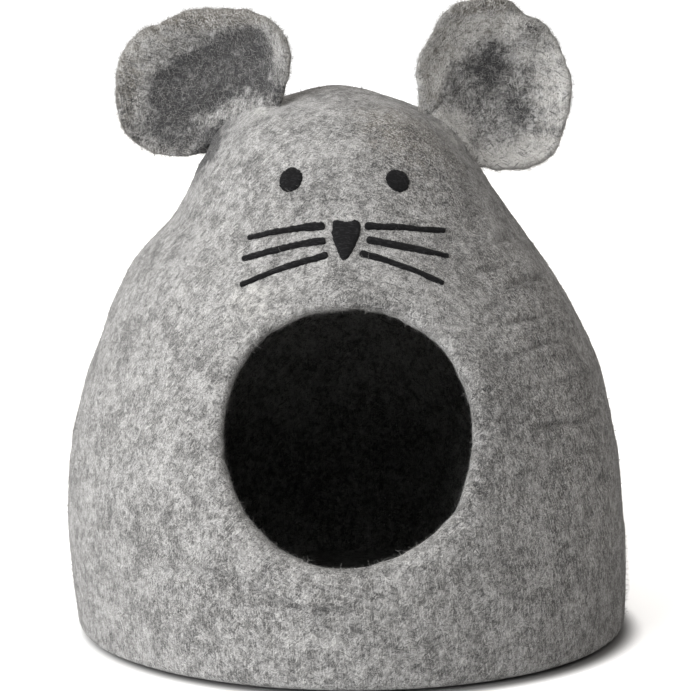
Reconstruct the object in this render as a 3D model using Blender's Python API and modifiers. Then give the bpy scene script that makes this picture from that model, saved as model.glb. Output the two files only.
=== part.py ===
"""Felt pet cave: a seamless dome of thick wool felt with a flat base and a round doorway in front.

Two dished felt ears stand on its head, and eyes, a nose and whiskers of black felt lie above the
doorway. Metres, +Z up. The doorway faces -Y, and the origin is on the floor under the middle of the dome.
"""

import math
from collections import namedtuple

import bmesh
import bpy
from mathutils import Matrix, Vector
from mathutils.bvhtree import BVHTree

# ---- Driving sizes, in metres --------------------------------------------------------------------

WALL = 0.007                 # felt of the dome and its base
LIP = 0.010                  # felt at the doorway's edge, where it is turned in and thicker
EAR_FELT = 0.0055            # felt of an ear
EAR_ROOT = 0.009             # the same at its root
TRIM_FELT = 0.0018           # black felt of the face
GAP = 0.0004                 # clear space between touching pieces
TRIM_GAP = 0.0005            # the same under the face pieces, which bend over flat facets

Section = namedtuple("Section", "height half_width shift")
BODY = (                     # the dome from its base edge to its top; shift is how far it leans to +X
    Section(0.000, 0.2125, 0.0040),
    Section(0.004, 0.2182, 0.0038),
    Section(0.013, 0.2218, 0.0034),
    Section(0.032, 0.2236, 0.0024),
    Section(0.062, 0.2247, 0.0010),
    Section(0.098, 0.2243, -0.0010),
    Section(0.138, 0.2205, -0.0022),
    Section(0.178, 0.2129, -0.0026),
    Section(0.216, 0.2022, -0.0022),
    Section(0.250, 0.1884, -0.0032),
    Section(0.282, 0.1719, -0.0049),
    Section(0.306, 0.1550, -0.0060),
    Section(0.330, 0.1360, -0.0048),
    Section(0.354, 0.1216, -0.0060),
    Section(0.376, 0.1090, -0.0072),
    Section(0.400, 0.0892, -0.0087),
    Section(0.420, 0.0600, -0.0093),
    Section(0.4349, 0.0000, -0.0095),
)

SEGMENTS = 52                # facets round the dome
RING_STEP = 0.021            # distance between its rings, along the wall
BASE_RINGS = (0.0, 0.38, 0.72)   # rings of the flat base, as parts of its edge's radius
ROUND_ANGLE = 55.0           # edges sharper than this, in degrees, are rounded
ROUND_FACETS = 2             # facets across a rounded edge

Swell = namedtuple("Swell", "turn height reach rise")
SWELL_START = 0.030          # height at which the bulges and dents have their full rise
SWELLS = (                   # soft bulges and dents; turn is in degrees, 0 at +X and -90 at the doorway
    Swell(-170.0, 0.295, 0.040, 0.0024),
    Swell(-165.0, 0.345, 0.030, -0.0022),
    Swell(-12.0, 0.200, 0.060, 0.0022),
    Swell(-150.0, 0.110, 0.080, 0.0025),
    Swell(-35.0, 0.060, 0.070, 0.0020),
    Swell(-88.0, 0.052, 0.050, 0.0025),
    Swell(70.0, 0.160, 0.110, 0.0035),
    Swell(120.0, 0.290, 0.070, -0.0025),
    Swell(20.0, 0.320, 0.050, 0.0020),
)

RimPoint = namedtuple("RimPoint", "turn radius")
Doorway = namedtuple("Doorway", "x z rim")
DOOR = Doorway(0.0005, 0.1865, (     # rim points are seen from in front: turn in degrees from +X,
    RimPoint(0.0, 0.0920),           # anticlockwise
    RimPoint(40.0, 0.0920),
    RimPoint(90.0, 0.0888),
    RimPoint(140.0, 0.0912),
    RimPoint(180.0, 0.0914),
    RimPoint(205.0, 0.0924),
    RimPoint(232.0, 0.0942),
    RimPoint(270.0, 0.0900),
    RimPoint(300.0, 0.0922),
    RimPoint(322.0, 0.0950),
    RimPoint(340.0, 0.0934),
))
DOOR_COLUMNS = 5             # grid cells cleared to each side of the doorway
DOOR_MARGIN = 0.036          # how far above and below the doorway the cleared cells reach
LipRing = namedtuple("LipRing", "share outside depth")
LIP_RINGS = (                # rings from the grid to the doorway: part of the way that the ring goes,
    LipRing(0.5, 0.015, 0.0000),     # distance outside the doorway's edge, and depth behind the wall
    LipRing(1.0, 0.015, 0.0000),
    LipRing(1.0, 0.008, 0.0005),
    LipRing(1.0, 0.003, 0.0022),
    LipRing(1.0, 0.000, 0.0052),
)
LIP_ROUND = 0.0030           # rounding of the lip's two edges

Ear = namedtuple("Ear", "name centre facing dish rim")
EARS = (                     # rim points are seen from in front, as the doorway's
    Ear("ear_left", (-0.1141, -0.0192, 0.4369), (-0.346, -0.916, -0.204), 0.017, (
        RimPoint(0.0, 0.0720),
        RimPoint(24.0, 0.0825),
        RimPoint(45.0, 0.0785),
        RimPoint(68.0, 0.0640),
        RimPoint(95.0, 0.0590),
        RimPoint(120.0, 0.0580),
        RimPoint(148.0, 0.0670),
        RimPoint(175.0, 0.0748),
        RimPoint(205.0, 0.0797),
        RimPoint(230.0, 0.0737),
        RimPoint(250.0, 0.0640),
        RimPoint(270.0, 0.0570),
        RimPoint(300.0, 0.0620),
        RimPoint(335.0, 0.0660),
    )),
    Ear("ear_right", (0.1161, -0.0117, 0.4350), (0.201, -0.974, -0.100), 0.015, (
        RimPoint(0.0, 0.0634),
        RimPoint(30.0, 0.0613),
        RimPoint(54.0, 0.0627),
        RimPoint(68.0, 0.0614),
        RimPoint(84.0, 0.0682),
        RimPoint(104.0, 0.0700),
        RimPoint(122.0, 0.0722),
        RimPoint(142.0, 0.0664),
        RimPoint(162.0, 0.0658),
        RimPoint(184.0, 0.0618),
        RimPoint(215.0, 0.0650),
        RimPoint(245.0, 0.0640),
        RimPoint(265.0, 0.0658),
        RimPoint(290.0, 0.0697),
        RimPoint(314.0, 0.0750),
        RimPoint(338.0, 0.0655),
    )),
)
EAR_CELLS = 12               # grid cells across an ear
EAR_ROOT_REACH = 0.030       # height over the head at which the root's extra felt has run out
RIM_ROUND = 0.0018           # rounding of an ear's rim

Oval = namedtuple("Oval", "name x z half_width half_height lean")
EYES = (                     # lean is in degrees, anticlockwise seen from in front
    Oval("eye_left", -0.0425, 0.3680, 0.0075, 0.0093, -40.0),
    Oval("eye_right", 0.0383, 0.3658, 0.0069, 0.0092, 55.0),
)
NOSE = Oval("nose", -0.0005, 0.3255, 0.0108, 0.0140, 0.0)
NOSE_RIM = (                 # the nose's rim in half sizes: a flat top that runs down to a round point
    (0.66, 0.95), (0.98, 0.68), (0.86, 0.16), (0.42, -0.52), (-0.14, -1.00),
    (-0.60, -0.50), (-0.94, 0.16), (-0.98, 0.70), (-0.64, 0.96), (0.00, 0.93),
)
NOSE_START = 0.125           # part of a full turn, from +X, at which the nose's rim starts
TRIM_CELLS = 6               # grid cells across an eye or the nose

Whisker = namedtuple("Whisker", "name inner outer arch width")
WHISKERS = (                 # ends are (x, z) on the front; arch is how far the middle rises
    Whisker("whisker_left_1", (-0.0163, 0.3354), (-0.0752, 0.3250), 0.0016, 0.0046),
    Whisker("whisker_left_2", (-0.0157, 0.3250), (-0.0790, 0.3100), 0.0018, 0.0046),
    Whisker("whisker_left_3", (-0.0138, 0.3152), (-0.0798, 0.2918), 0.0022, 0.0038),
    Whisker("whisker_right_1", (0.0128, 0.3354), (0.0745, 0.3300), 0.0004, 0.0046),
    Whisker("whisker_right_2", (0.0140, 0.3254), (0.0766, 0.3117), 0.0008, 0.0046),
    Whisker("whisker_right_3", (0.0090, 0.3166), (0.0721, 0.2935), 0.0018, 0.0038),
)
WHISKER_CELLS = 10           # grid cells along a whisker
WHISKER_TIP = 0.55           # a whisker's width at its outer end, as a part of its full width
WHISKER_BLUNT = 0.35         # how wide its rounded ends stay at their very tips, as a part of the same

GREY_WOOL = (0.40, 0.40, 0.39)
CHARCOAL_WOOL = (0.22, 0.22, 0.22)
BLACK_WOOL = (0.018, 0.018, 0.020)
WOOL_ROUGHNESS = 0.95


# ---- Curves through the tables -------------------------------------------------------------------

def between(rows, i, part):
    """Read the smooth curve through a table's rows, a given part of the way from row i to row i + 1."""
    p0, p1, p2, p3 = (rows[k] for k in range(i - 1, i + 3))
    values = []
    for a, b, c, d in zip(p0, p1, p2, p3):
        bend = 2 * a - 5 * b + 4 * c - d
        twist = 3 * (b - c) + d - a
        values.append(b + 0.5 * part * (c - a + part * (bend + part * twist)))
    return values


def rim_radius(rim, turn):
    """Return a rim's radius at a turn in degrees, on the smooth curve through its points."""
    count = len(rim)
    ring = [rim[(k - 1) % count]._replace(turn=rim[(k - 1) % count].turn + 360 * ((k - 1) // count))
            for k in range(count + 3)]
    turn = turn % 360
    i = max(k for k in range(1, count + 1) if ring[k].turn <= turn)
    part = (turn - ring[i].turn) / (ring[i + 1].turn - ring[i].turn)
    return between(ring, i, part)[1]


def body_rings():
    """Return (height, half width, shift) of every ring, from the middle of the base to the top."""
    first, last = BODY[0], BODY[-1]
    below = Section(first.height, first.half_width - (BODY[1].half_width - first.half_width), first.shift)
    above = Section(BODY[-2].height, -BODY[-2].half_width, last.shift)
    rows = (below,) + BODY + (above,)
    rings = [(0.0, first.half_width * share, first.shift) for share in BASE_RINGS]
    for i in range(1, len(rows) - 2):
        rise = rows[i + 1].height - rows[i].height
        run = rows[i + 1].half_width - rows[i].half_width
        steps = max(1, round(math.hypot(rise, run) / RING_STEP))
        rings += [between(rows, i, k / steps) for k in range(steps)]
    rings.append(tuple(last))
    return rings


def swell_at(point):
    """Return how far the soft bulges and dents move a point of the wall outwards."""
    turn = math.degrees(math.atan2(point.y, point.x))
    across = math.hypot(point.x, point.y)
    rise = 0.0
    for s in SWELLS:
        round_wall = math.radians((turn - s.turn + 180) % 360 - 180) * across
        distance = math.hypot(round_wall, point.z - s.height) / s.reach
        rise += s.rise * math.exp(-distance * distance)
    return rise


def front_point(rings, x, z):
    """Return the point of the wall that is seen at (x, z) from in front."""
    walls = rings[len(BASE_RINGS):]
    for (z0, half0, shift0), (z1, half1, shift1) in zip(walls, walls[1:]):
        if z0 <= z <= z1:
            part = (z - z0) / (z1 - z0)
            half = half0 + part * (half1 - half0)
            shift = shift0 + part * (shift1 - shift0)
            return Vector((x, -math.sqrt(half * half - (x - shift) ** 2), z))
    raise ValueError("no wall at that height")


# ---- Objects -------------------------------------------------------------------------------------

def clear_scene():
    """Remove whatever the scene holds."""
    for old in list(bpy.data.objects):
        bpy.data.objects.remove(old, do_unlink=True)


def new_collection(name):
    """Make a collection in the scene."""
    collection = bpy.data.collections.new(name)
    bpy.context.scene.collection.children.link(collection)
    return collection


def felt(name, colour):
    """Make a matt wool felt."""
    material = bpy.data.materials.new(name)
    material.use_nodes = True
    shader = material.node_tree.nodes["Principled BSDF"]
    shader.inputs["Base Color"].default_value = (*colour, 1.0)
    shader.inputs["Roughness"].default_value = WOOL_ROUGHNESS
    shader.inputs["Metallic"].default_value = 0.0
    material.diffuse_color = (*colour, 1.0)
    return material


def add_object(name, bm, collection, material=None):
    """Turn a bmesh into a smooth-shaded object."""
    mesh = bpy.data.meshes.new(name)
    bm.to_mesh(mesh)
    bm.free()
    mesh.shade_smooth()
    piece = bpy.data.objects.new(name, mesh)
    collection.objects.link(piece)
    if material:
        mesh.materials.append(material)
    return piece


def add_solidify(piece, thickness, offset, group=None, thin=1.0):
    """Give an open sheet its thickness, times the factor thin where the vertex group weighs nothing."""
    solidify = piece.modifiers.new("thickness", "SOLIDIFY")
    solidify.thickness = thickness
    solidify.offset = offset
    solidify.use_even_offset = True
    if group:
        solidify.vertex_group = group
        solidify.thickness_vertex_group = thin


def add_round(piece, width):
    """Round the sheet's cut edges."""
    bevel = piece.modifiers.new("round edge", "BEVEL")
    bevel.limit_method = "ANGLE"
    bevel.angle_limit = math.radians(ROUND_ANGLE)
    bevel.width = width
    bevel.segments = ROUND_FACETS


# ---- Body ----------------------------------------------------------------------------------------

def body_surface(rings):
    """Pull a sphere's rings to the dome's sections, with its grid's columns counted from the doorway."""
    bm = bmesh.new()
    bmesh.ops.create_uvsphere(bm, u_segments=SEGMENTS, v_segments=len(rings) - 1, radius=1.0)
    bmesh.ops.triangulate(bm, faces=bm.faces, quad_method="FIXED")
    column = bm.verts.layers.int.new("column")
    for v in bm.verts:
        row = round(math.acos(max(-1.0, min(1.0, -v.co.z))) / math.pi * (len(rings) - 1))
        turn = math.atan2(v.co.y, v.co.x)
        v[column] = round((turn / math.tau + 0.25) * SEGMENTS)
        height, half_width, shift = rings[row]
        v.co = (shift + half_width * math.cos(turn), half_width * math.sin(turn), height)
    return bm, column


def cut_doorway(bm, column, rings):
    """Clear the grid cells round the doorway and close up to its edge with rings."""
    low = DOOR.z - rim_radius(DOOR.rim, 270) - DOOR_MARGIN
    high = DOOR.z + rim_radius(DOOR.rim, 90) + DOOR_MARGIN
    cleared = [
        face for face in bm.faces
        if all(abs(v[column]) <= DOOR_COLUMNS and low < v.co.z < high and v.co.y < 0 for v in face.verts)
    ]
    bmesh.ops.delete(bm, geom=cleared, context="FACES")
    edge = [e for e in bm.edges if e.is_boundary]
    for ring in LIP_RINGS:
        grown = bmesh.ops.extrude_edge_only(bm, edges=edge)["geom"]
        edge = [g for g in grown if isinstance(g, bmesh.types.BMEdge)]
        for v in {v for e in edge for v in e.verts}:
            turn = math.atan2(v.co.z - DOOR.z, v.co.x - DOOR.x)
            radius = rim_radius(DOOR.rim, math.degrees(turn)) + ring.outside
            x = DOOR.x + radius * math.cos(turn)
            z = DOOR.z + radius * math.sin(turn)
            x = v.co.x + (x - v.co.x) * ring.share
            z = v.co.z + (z - v.co.z) * ring.share
            v.co = front_point(rings, x, z) + Vector((0.0, ring.depth, 0.0))
    bmesh.ops.recalc_face_normals(bm, faces=bm.faces)
    return {v for e in edge for v in e.verts}


def swell_wall(bm):
    """Move the wall's points by the soft bulges and dents, and keep the base flat."""
    bm.normal_update()
    moves = [(v, v.normal * swell_at(v.co) * min(1.0, v.co.z / SWELL_START)) for v in bm.verts]
    for v, move in moves:
        v.co += move
        v.co.z = max(v.co.z, 0.0)


def build_body(collection):
    """Make the dome: one sheet with a doorway, thickened inwards."""
    rings = body_rings()
    bm, column = body_surface(rings)
    lip = cut_doorway(bm, column, rings)
    swell_wall(bm)
    bm.verts.index_update()
    lip_points = [v.index for v in lip]
    body = add_object("body", bm, collection, felt("grey_felt", GREY_WOOL))
    group = body.vertex_groups.new(name="lip")
    group.add(lip_points, 1.0, "REPLACE")
    add_solidify(body, LIP, -1.0, "lip", WALL / LIP)
    add_round(body, LIP_ROUND)
    return body


def build_head_cutter(collection):
    """Make the dome without its doorway, grown by the gap, to trim the ears' roots."""
    bm, _ = body_surface(body_rings())
    bmesh.ops.recalc_face_normals(bm, faces=bm.faces)
    swell_wall(bm)
    bm.normal_update()
    moves = [(v, v.normal * GAP) for v in bm.verts]
    for v, move in moves:
        v.co += move
    cutter = add_object("head_cutter", bm, collection)
    cutter.hide_render = True
    cutter.display_type = "WIRE"
    return cutter


# ---- Ears ----------------------------------------------------------------------------------------

def disc_grid(cells):
    """Make a square grid squeezed into a round disc of radius 1, in the XY plane."""
    bm = bmesh.new()
    bmesh.ops.create_grid(bm, x_segments=cells, y_segments=cells, size=1.0)
    for v in bm.verts:
        x, y = v.co.x, v.co.y
        v.co = (x * math.sqrt(1 - y * y / 2), y * math.sqrt(1 - x * x / 2), 0.0)
    return bm


def build_ear(ear, collection, cutter):
    """Make a dished disc of felt and trim its root to the head."""
    facing = Vector(ear.facing).normalized()
    across = Vector((0.0, 0.0, 1.0)).cross(facing).normalized()
    place = Matrix((across, facing.cross(across), facing)).transposed().to_4x4()
    place.translation = Vector(ear.centre)
    head = BVHTree.FromObject(cutter, bpy.context.evaluated_depsgraph_get())
    bm = disc_grid(EAR_CELLS)
    weights = {}
    for v in bm.verts:
        share = min(1.0, math.hypot(v.co.x, v.co.y))
        turn = math.degrees(math.atan2(v.co.y, v.co.x))
        radius = rim_radius(ear.rim, turn) * share
        dip = ear.dish * (1.0 - share * share)
        v.co = (radius * math.cos(math.radians(turn)), radius * math.sin(math.radians(turn)), -dip)
        over_head = head.find_nearest(place @ v.co)[3]
        weights[v.index] = max(0.0, 1.0 - over_head / EAR_ROOT_REACH)
    material = felt(ear.name + "_felt", CHARCOAL_WOOL)
    piece = add_object(ear.name, bm, collection, material)
    piece.matrix_world = place
    group = piece.vertex_groups.new(name="root")
    for index, weight in weights.items():
        group.add([index], weight, "REPLACE")
    add_solidify(piece, EAR_ROOT, 0.0, "root", EAR_FELT / EAR_ROOT)
    add_round(piece, RIM_ROUND)
    trim = piece.modifiers.new("trim to head", "BOOLEAN")
    trim.operation = "DIFFERENCE"
    trim.object = cutter
    return piece


# ---- Face ----------------------------------------------------------------------------------------

def lay_on_wall(bm, wall):
    """Lay a flat sheet, drawn as (x, z) in front of the dome, on its wall."""
    for v in bm.verts:
        hit, normal, _, _ = wall.ray_cast(Vector((v.co.x, -1.0, v.co.y)), Vector((0.0, 1.0, 0.0)))
        v.co = hit + normal * TRIM_GAP
    bmesh.ops.recalc_face_normals(bm, faces=bm.faces)
    if sum(f.normal.y for f in bm.faces) > 0:
        bmesh.ops.reverse_faces(bm, faces=bm.faces)


def oval_sheet(oval):
    """Draw an eye: a leaning ellipse."""
    bm = disc_grid(TRIM_CELLS)
    lean = Matrix.Rotation(math.radians(oval.lean), 4, "Z")
    for v in bm.verts:
        v.co = lean @ Vector((v.co.x * oval.half_width, v.co.y * oval.half_height, 0.0))
        v.co += Vector((oval.x, oval.z, 0.0))
    return bm


def nose_sheet():
    """Draw the nose: a rounded triangle that points down."""
    count = len(NOSE_RIM)
    ring = [NOSE_RIM[(k - 1) % count] for k in range(count + 3)]
    bm = disc_grid(TRIM_CELLS)
    for v in bm.verts:
        share = min(1.0, math.hypot(v.co.x, v.co.y))
        way = (NOSE_START - math.atan2(v.co.y, v.co.x) / math.tau) % 1.0 * count
        i = min(int(way), count - 1)
        x, z = between(ring, i + 1, way - i)
        v.co = (NOSE.x + x * share * NOSE.half_width, NOSE.z + z * share * NOSE.half_height, 0.0)
    return bm


def whisker_sheet(whisker):
    """Draw a whisker: a thin arched strip that narrows to its round outer end."""
    bm = bmesh.new()
    bmesh.ops.create_grid(bm, x_segments=WHISKER_CELLS, y_segments=2, size=1.0)
    inner = Vector((*whisker.inner, 0.0))
    outer = Vector((*whisker.outer, 0.0))
    along = outer - inner
    side = Vector((-along.y, along.x, 0.0)).normalized()
    side *= math.copysign(1.0, side.y)
    for v in bm.verts:
        part = (v.co.x + 1) / 2
        from_end = min(part, 1 - part) * along.length
        width = whisker.width * (1 - part * (1 - WHISKER_TIP))
        if from_end < width / 2:
            width *= math.sqrt(max(WHISKER_BLUNT ** 2, 1 - (1 - 2 * from_end / width) ** 2))
        middle = inner + along * part + side * whisker.arch * 4 * part * (1 - part)
        v.co = middle + side * v.co.y * width / 2
    return bm


def build_face(collection, body):
    """Lay the eyes, the nose and the whiskers on the dome's front."""
    wall = BVHTree.FromObject(body, bpy.context.evaluated_depsgraph_get())
    sheets = [(eye.name, oval_sheet(eye)) for eye in EYES]
    sheets.append((NOSE.name, nose_sheet()))
    sheets += [(whisker.name, whisker_sheet(whisker)) for whisker in WHISKERS]
    for name, bm in sheets:
        lay_on_wall(bm, wall)
        piece = add_object(name, bm, collection, felt(name + "_felt", BLACK_WOOL))
        add_solidify(piece, TRIM_FELT, 1.0)


def main():
    """Build the cave."""
    clear_scene()
    parts = new_collection("felt_pet_cave")
    cutters = new_collection("cutters")
    body = build_body(parts)
    cutter = build_head_cutter(cutters)
    bpy.context.view_layer.update()
    for ear in EARS:
        build_ear(ear, parts, cutter)
    build_face(parts, body)


main()
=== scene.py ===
"""Felt pet cave, dressed: wet-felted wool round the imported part's fixed frame.

A seamless dome of heather grey wool with a rolled doorway, two cupped ears felted onto the head, and a
face of black felt. Metres, +Z up; the doorway faces -Y and the origin is on the floor, under the dome.
"""

import itertools
import logging
import math
from dataclasses import dataclass
from enum import Enum
from functools import cached_property
from typing import Any, Sequence

import bpy
import numpy as np
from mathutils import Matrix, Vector
from mathutils.bvhtree import BVHTree


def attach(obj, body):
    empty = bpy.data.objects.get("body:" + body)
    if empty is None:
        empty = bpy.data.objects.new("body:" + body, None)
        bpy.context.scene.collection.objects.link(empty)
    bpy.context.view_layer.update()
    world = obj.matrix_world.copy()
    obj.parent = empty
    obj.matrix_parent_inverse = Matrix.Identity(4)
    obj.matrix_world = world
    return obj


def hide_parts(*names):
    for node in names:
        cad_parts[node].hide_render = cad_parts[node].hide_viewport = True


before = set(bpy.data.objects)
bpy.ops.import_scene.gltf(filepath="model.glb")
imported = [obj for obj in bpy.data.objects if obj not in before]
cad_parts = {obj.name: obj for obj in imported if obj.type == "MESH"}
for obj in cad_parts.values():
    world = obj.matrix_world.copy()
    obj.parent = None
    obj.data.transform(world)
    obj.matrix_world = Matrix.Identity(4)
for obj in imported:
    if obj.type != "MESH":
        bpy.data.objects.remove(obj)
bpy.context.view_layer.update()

LOG = logging.getLogger("felt_cave")

Numbers = np.ndarray
Points = np.ndarray
Pair = tuple[float, float]
Triple = tuple[float, float, float]
Colour = Triple

TINT = "tint"                   # the mesh attribute that holds the felt's Amounts, as its red to alpha
CHARCOAL_AND_PAINTED_SHADE, CREASES = 0, 3        # the columns of the first and the last of the Amounts
UV_NAME = "OFBake"
BACK_HALF = 0.5                 # where the back layer of a sheet starts in its UV map
LAYER_WIDTH = 0.49              # how wide each layer lies there
TINY = 1e-12                    # a normal shorter than this isn't used
POINT_SIZE = 1e-6               # a ring smaller than this is a point
CLOUD_ROUGHNESS = 0.55          # how strong the finer blotches of a cloud are
NOISE_TABLE = 4096
NOISE_PRIMES = (73856093, 19349663, 83492791)
NOISE_STEP = 7.31               # how far apart the lumps of two seeds are read, in lumps
FUZZ_SEED = 3                   # a piece's seed times this is the seed of its loose fibres
BODY = "body_felt"


# ---- Numbers and curves --------------------------------------------------------------------------

def smooth_step(value: Numbers, low: float, high: float) -> Numbers:
    """Rise smoothly from 0 at low to 1 at high, which may be the lower one."""
    part = np.clip((value - low) / (high - low), 0.0, 1.0)
    return part * part * (3.0 - 2.0 * part)


def lumps(points: Points, size: float, seed: int) -> Numbers:
    """Return even, smooth random lumps.

    Args:
        points: Where they are read, in an array of any shape by 3.
        size: How wide a lump is, in metres.
        seed: Which lumps.

    Returns:
        Numbers from -1 to 1, one for each point.
    """
    cell = points / size + NOISE_STEP * seed
    corner = np.floor(cell).astype(np.int64)
    part = cell - corner
    part = part * part * (3.0 - 2.0 * part)
    table = np.random.default_rng(seed).uniform(-1.0, 1.0, NOISE_TABLE)
    total = np.zeros(points.shape[:-1])
    for step in itertools.product((0, 1), repeat=3):
        key = np.bitwise_xor.reduce((corner + step) * NOISE_PRIMES, axis=-1) % NOISE_TABLE
        total += table[key] * np.prod(np.where(step, part, 1.0 - part), axis=-1)
    return total


def layered(points: Points, layers: Sequence[Pair], seed: int) -> Numbers:
    """Add up lumps, given the size and the height of each kind, and return their height at each point."""
    return sum(height * lumps(points, size, seed + k) for k, (size, height) in enumerate(layers))


def stacked(*parts: Any) -> Points:
    """Return points made of these x, y and z, which may be arrays or plain numbers."""
    return np.stack(np.broadcast_arrays(*parts), axis=-1)


def bell(value: Numbers) -> Numbers:
    """Fall smoothly from 1 at 0 towards 0 on both sides."""
    return np.exp(-np.square(value))


def turn_between(turns: Numbers, middle: float) -> Numbers:
    """Return the turns from a middle, in degrees from -180 to 180."""
    return (turns - middle + 180.0) % 360.0 - 180.0


def apart(points: Points, other: Any = 0.0) -> Numbers:
    """Return how far points are from others, or how long vectors are."""
    return np.linalg.norm(points - np.asarray(other), axis=-1)


def unit(vectors: Points) -> Points:
    """Return the vectors at a length of 1."""
    return vectors / apart(vectors)[..., None]


def spline(a: Any, b: Any, c: Any, d: Any, part: Any) -> Any:
    """Read the smooth curve from b to c, which a and d steer.

    Args:
        a: What comes before b.
        b: The curve's start.
        c: Its end.
        d: What comes after c.
        part: How far along, from 0 to 1.

    Returns:
        The curve's value there.
    """
    bend = 2 * a - 5 * b + 4 * c - d
    twist = 3 * (b - c) + d - a
    return b + 0.5 * part * (c - a + part * (bend + part * twist))


def closed_spline(rows: Numbers, i: Numbers, part: Any) -> Numbers:
    """Read the smooth closed curve through a table's rows, a part of the way from row i to the next."""
    return spline(*(rows[(i + k) % len(rows)] for k in (-1, 0, 1, 2)), part)


def curve_through(rows: Numbers, steps: int) -> Numbers:
    """Sample the smooth curve through a table's rows.

    Args:
        rows: The table. Its first and last rows only steer the curve.
        steps: Samples between two rows.

    Returns:
        The samples, one a row.
    """
    part = np.linspace(0.0, 1.0, steps, endpoint=False)[:, None]
    runs = [spline(a, b, c, d, part) for a, b, c, d in zip(rows, rows[1:], rows[2:], rows[3:])]
    return np.concatenate(runs + [rows[-2][None]])


@dataclass(frozen=True)
class Rim:
    """A closed outline round a centre: (turn in degrees, anticlockwise from +X, radius) pairs."""

    marks: tuple[Pair, ...]

    def radius(self, turns: Numbers) -> Numbers:
        """Return the outline's radius.

        Args:
            turns: Turns in degrees.

        Returns:
            The radius at each.
        """
        knots, radii = np.array(self.marks).T
        knots = np.append(knots, 360.0 + knots[0])
        turns = np.mod(turns, 360.0)
        i = np.searchsorted(knots, turns, side="right") - 1
        return closed_spline(radii, i, (turns - knots[i]) / (knots[i + 1] - knots[i]))


def grid_normals(points: Points, heart: Points, closed: bool) -> Points:
    """Return a grid of points' normals, turned away from a point behind the surface.

    Args:
        points: The grid, rows by columns by 3.
        heart: A point behind it.
        closed: Whether the last column meets the first.

    Returns:
        Unit normals of the same shape.
    """
    if closed:
        across = np.roll(points, -1, axis=1) - np.roll(points, 1, axis=1)
    else:
        across = np.gradient(points, axis=1)
    normals = np.cross(np.gradient(points, axis=0), across)
    size = apart(normals)[..., None]
    away = points - heart
    normals = unit(np.where(size > TINY, normals / np.maximum(size, TINY), away))
    return normals * np.sign(np.sum(normals * away, axis=-1, keepdims=True))


# ---- Wool finishes -------------------------------------------------------------------------------

@dataclass(frozen=True, kw_only=True)
class Amounts:
    """How much charcoal wool and painted shade, warm wool, pale wool and painted light there is, and how
    creased the felt is, each from 0 to 1.
    """

    charcoal_and_painted_shade: float = 0.0
    warm: float = 0.0
    pale_and_painted_light: float = 0.0
    creases: float = 0.0

    @property
    def row(self) -> Numbers:
        """Return the amounts, in the order of the tint's red, green, blue and alpha."""
        return np.array([self.charcoal_and_painted_shade, self.warm, self.pale_and_painted_light, self.creases])


class Slot(Enum):
    """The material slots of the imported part."""

    GREY = "grey_felt"
    EAR = "ear_felt"
    BLACK = "black_felt"


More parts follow.
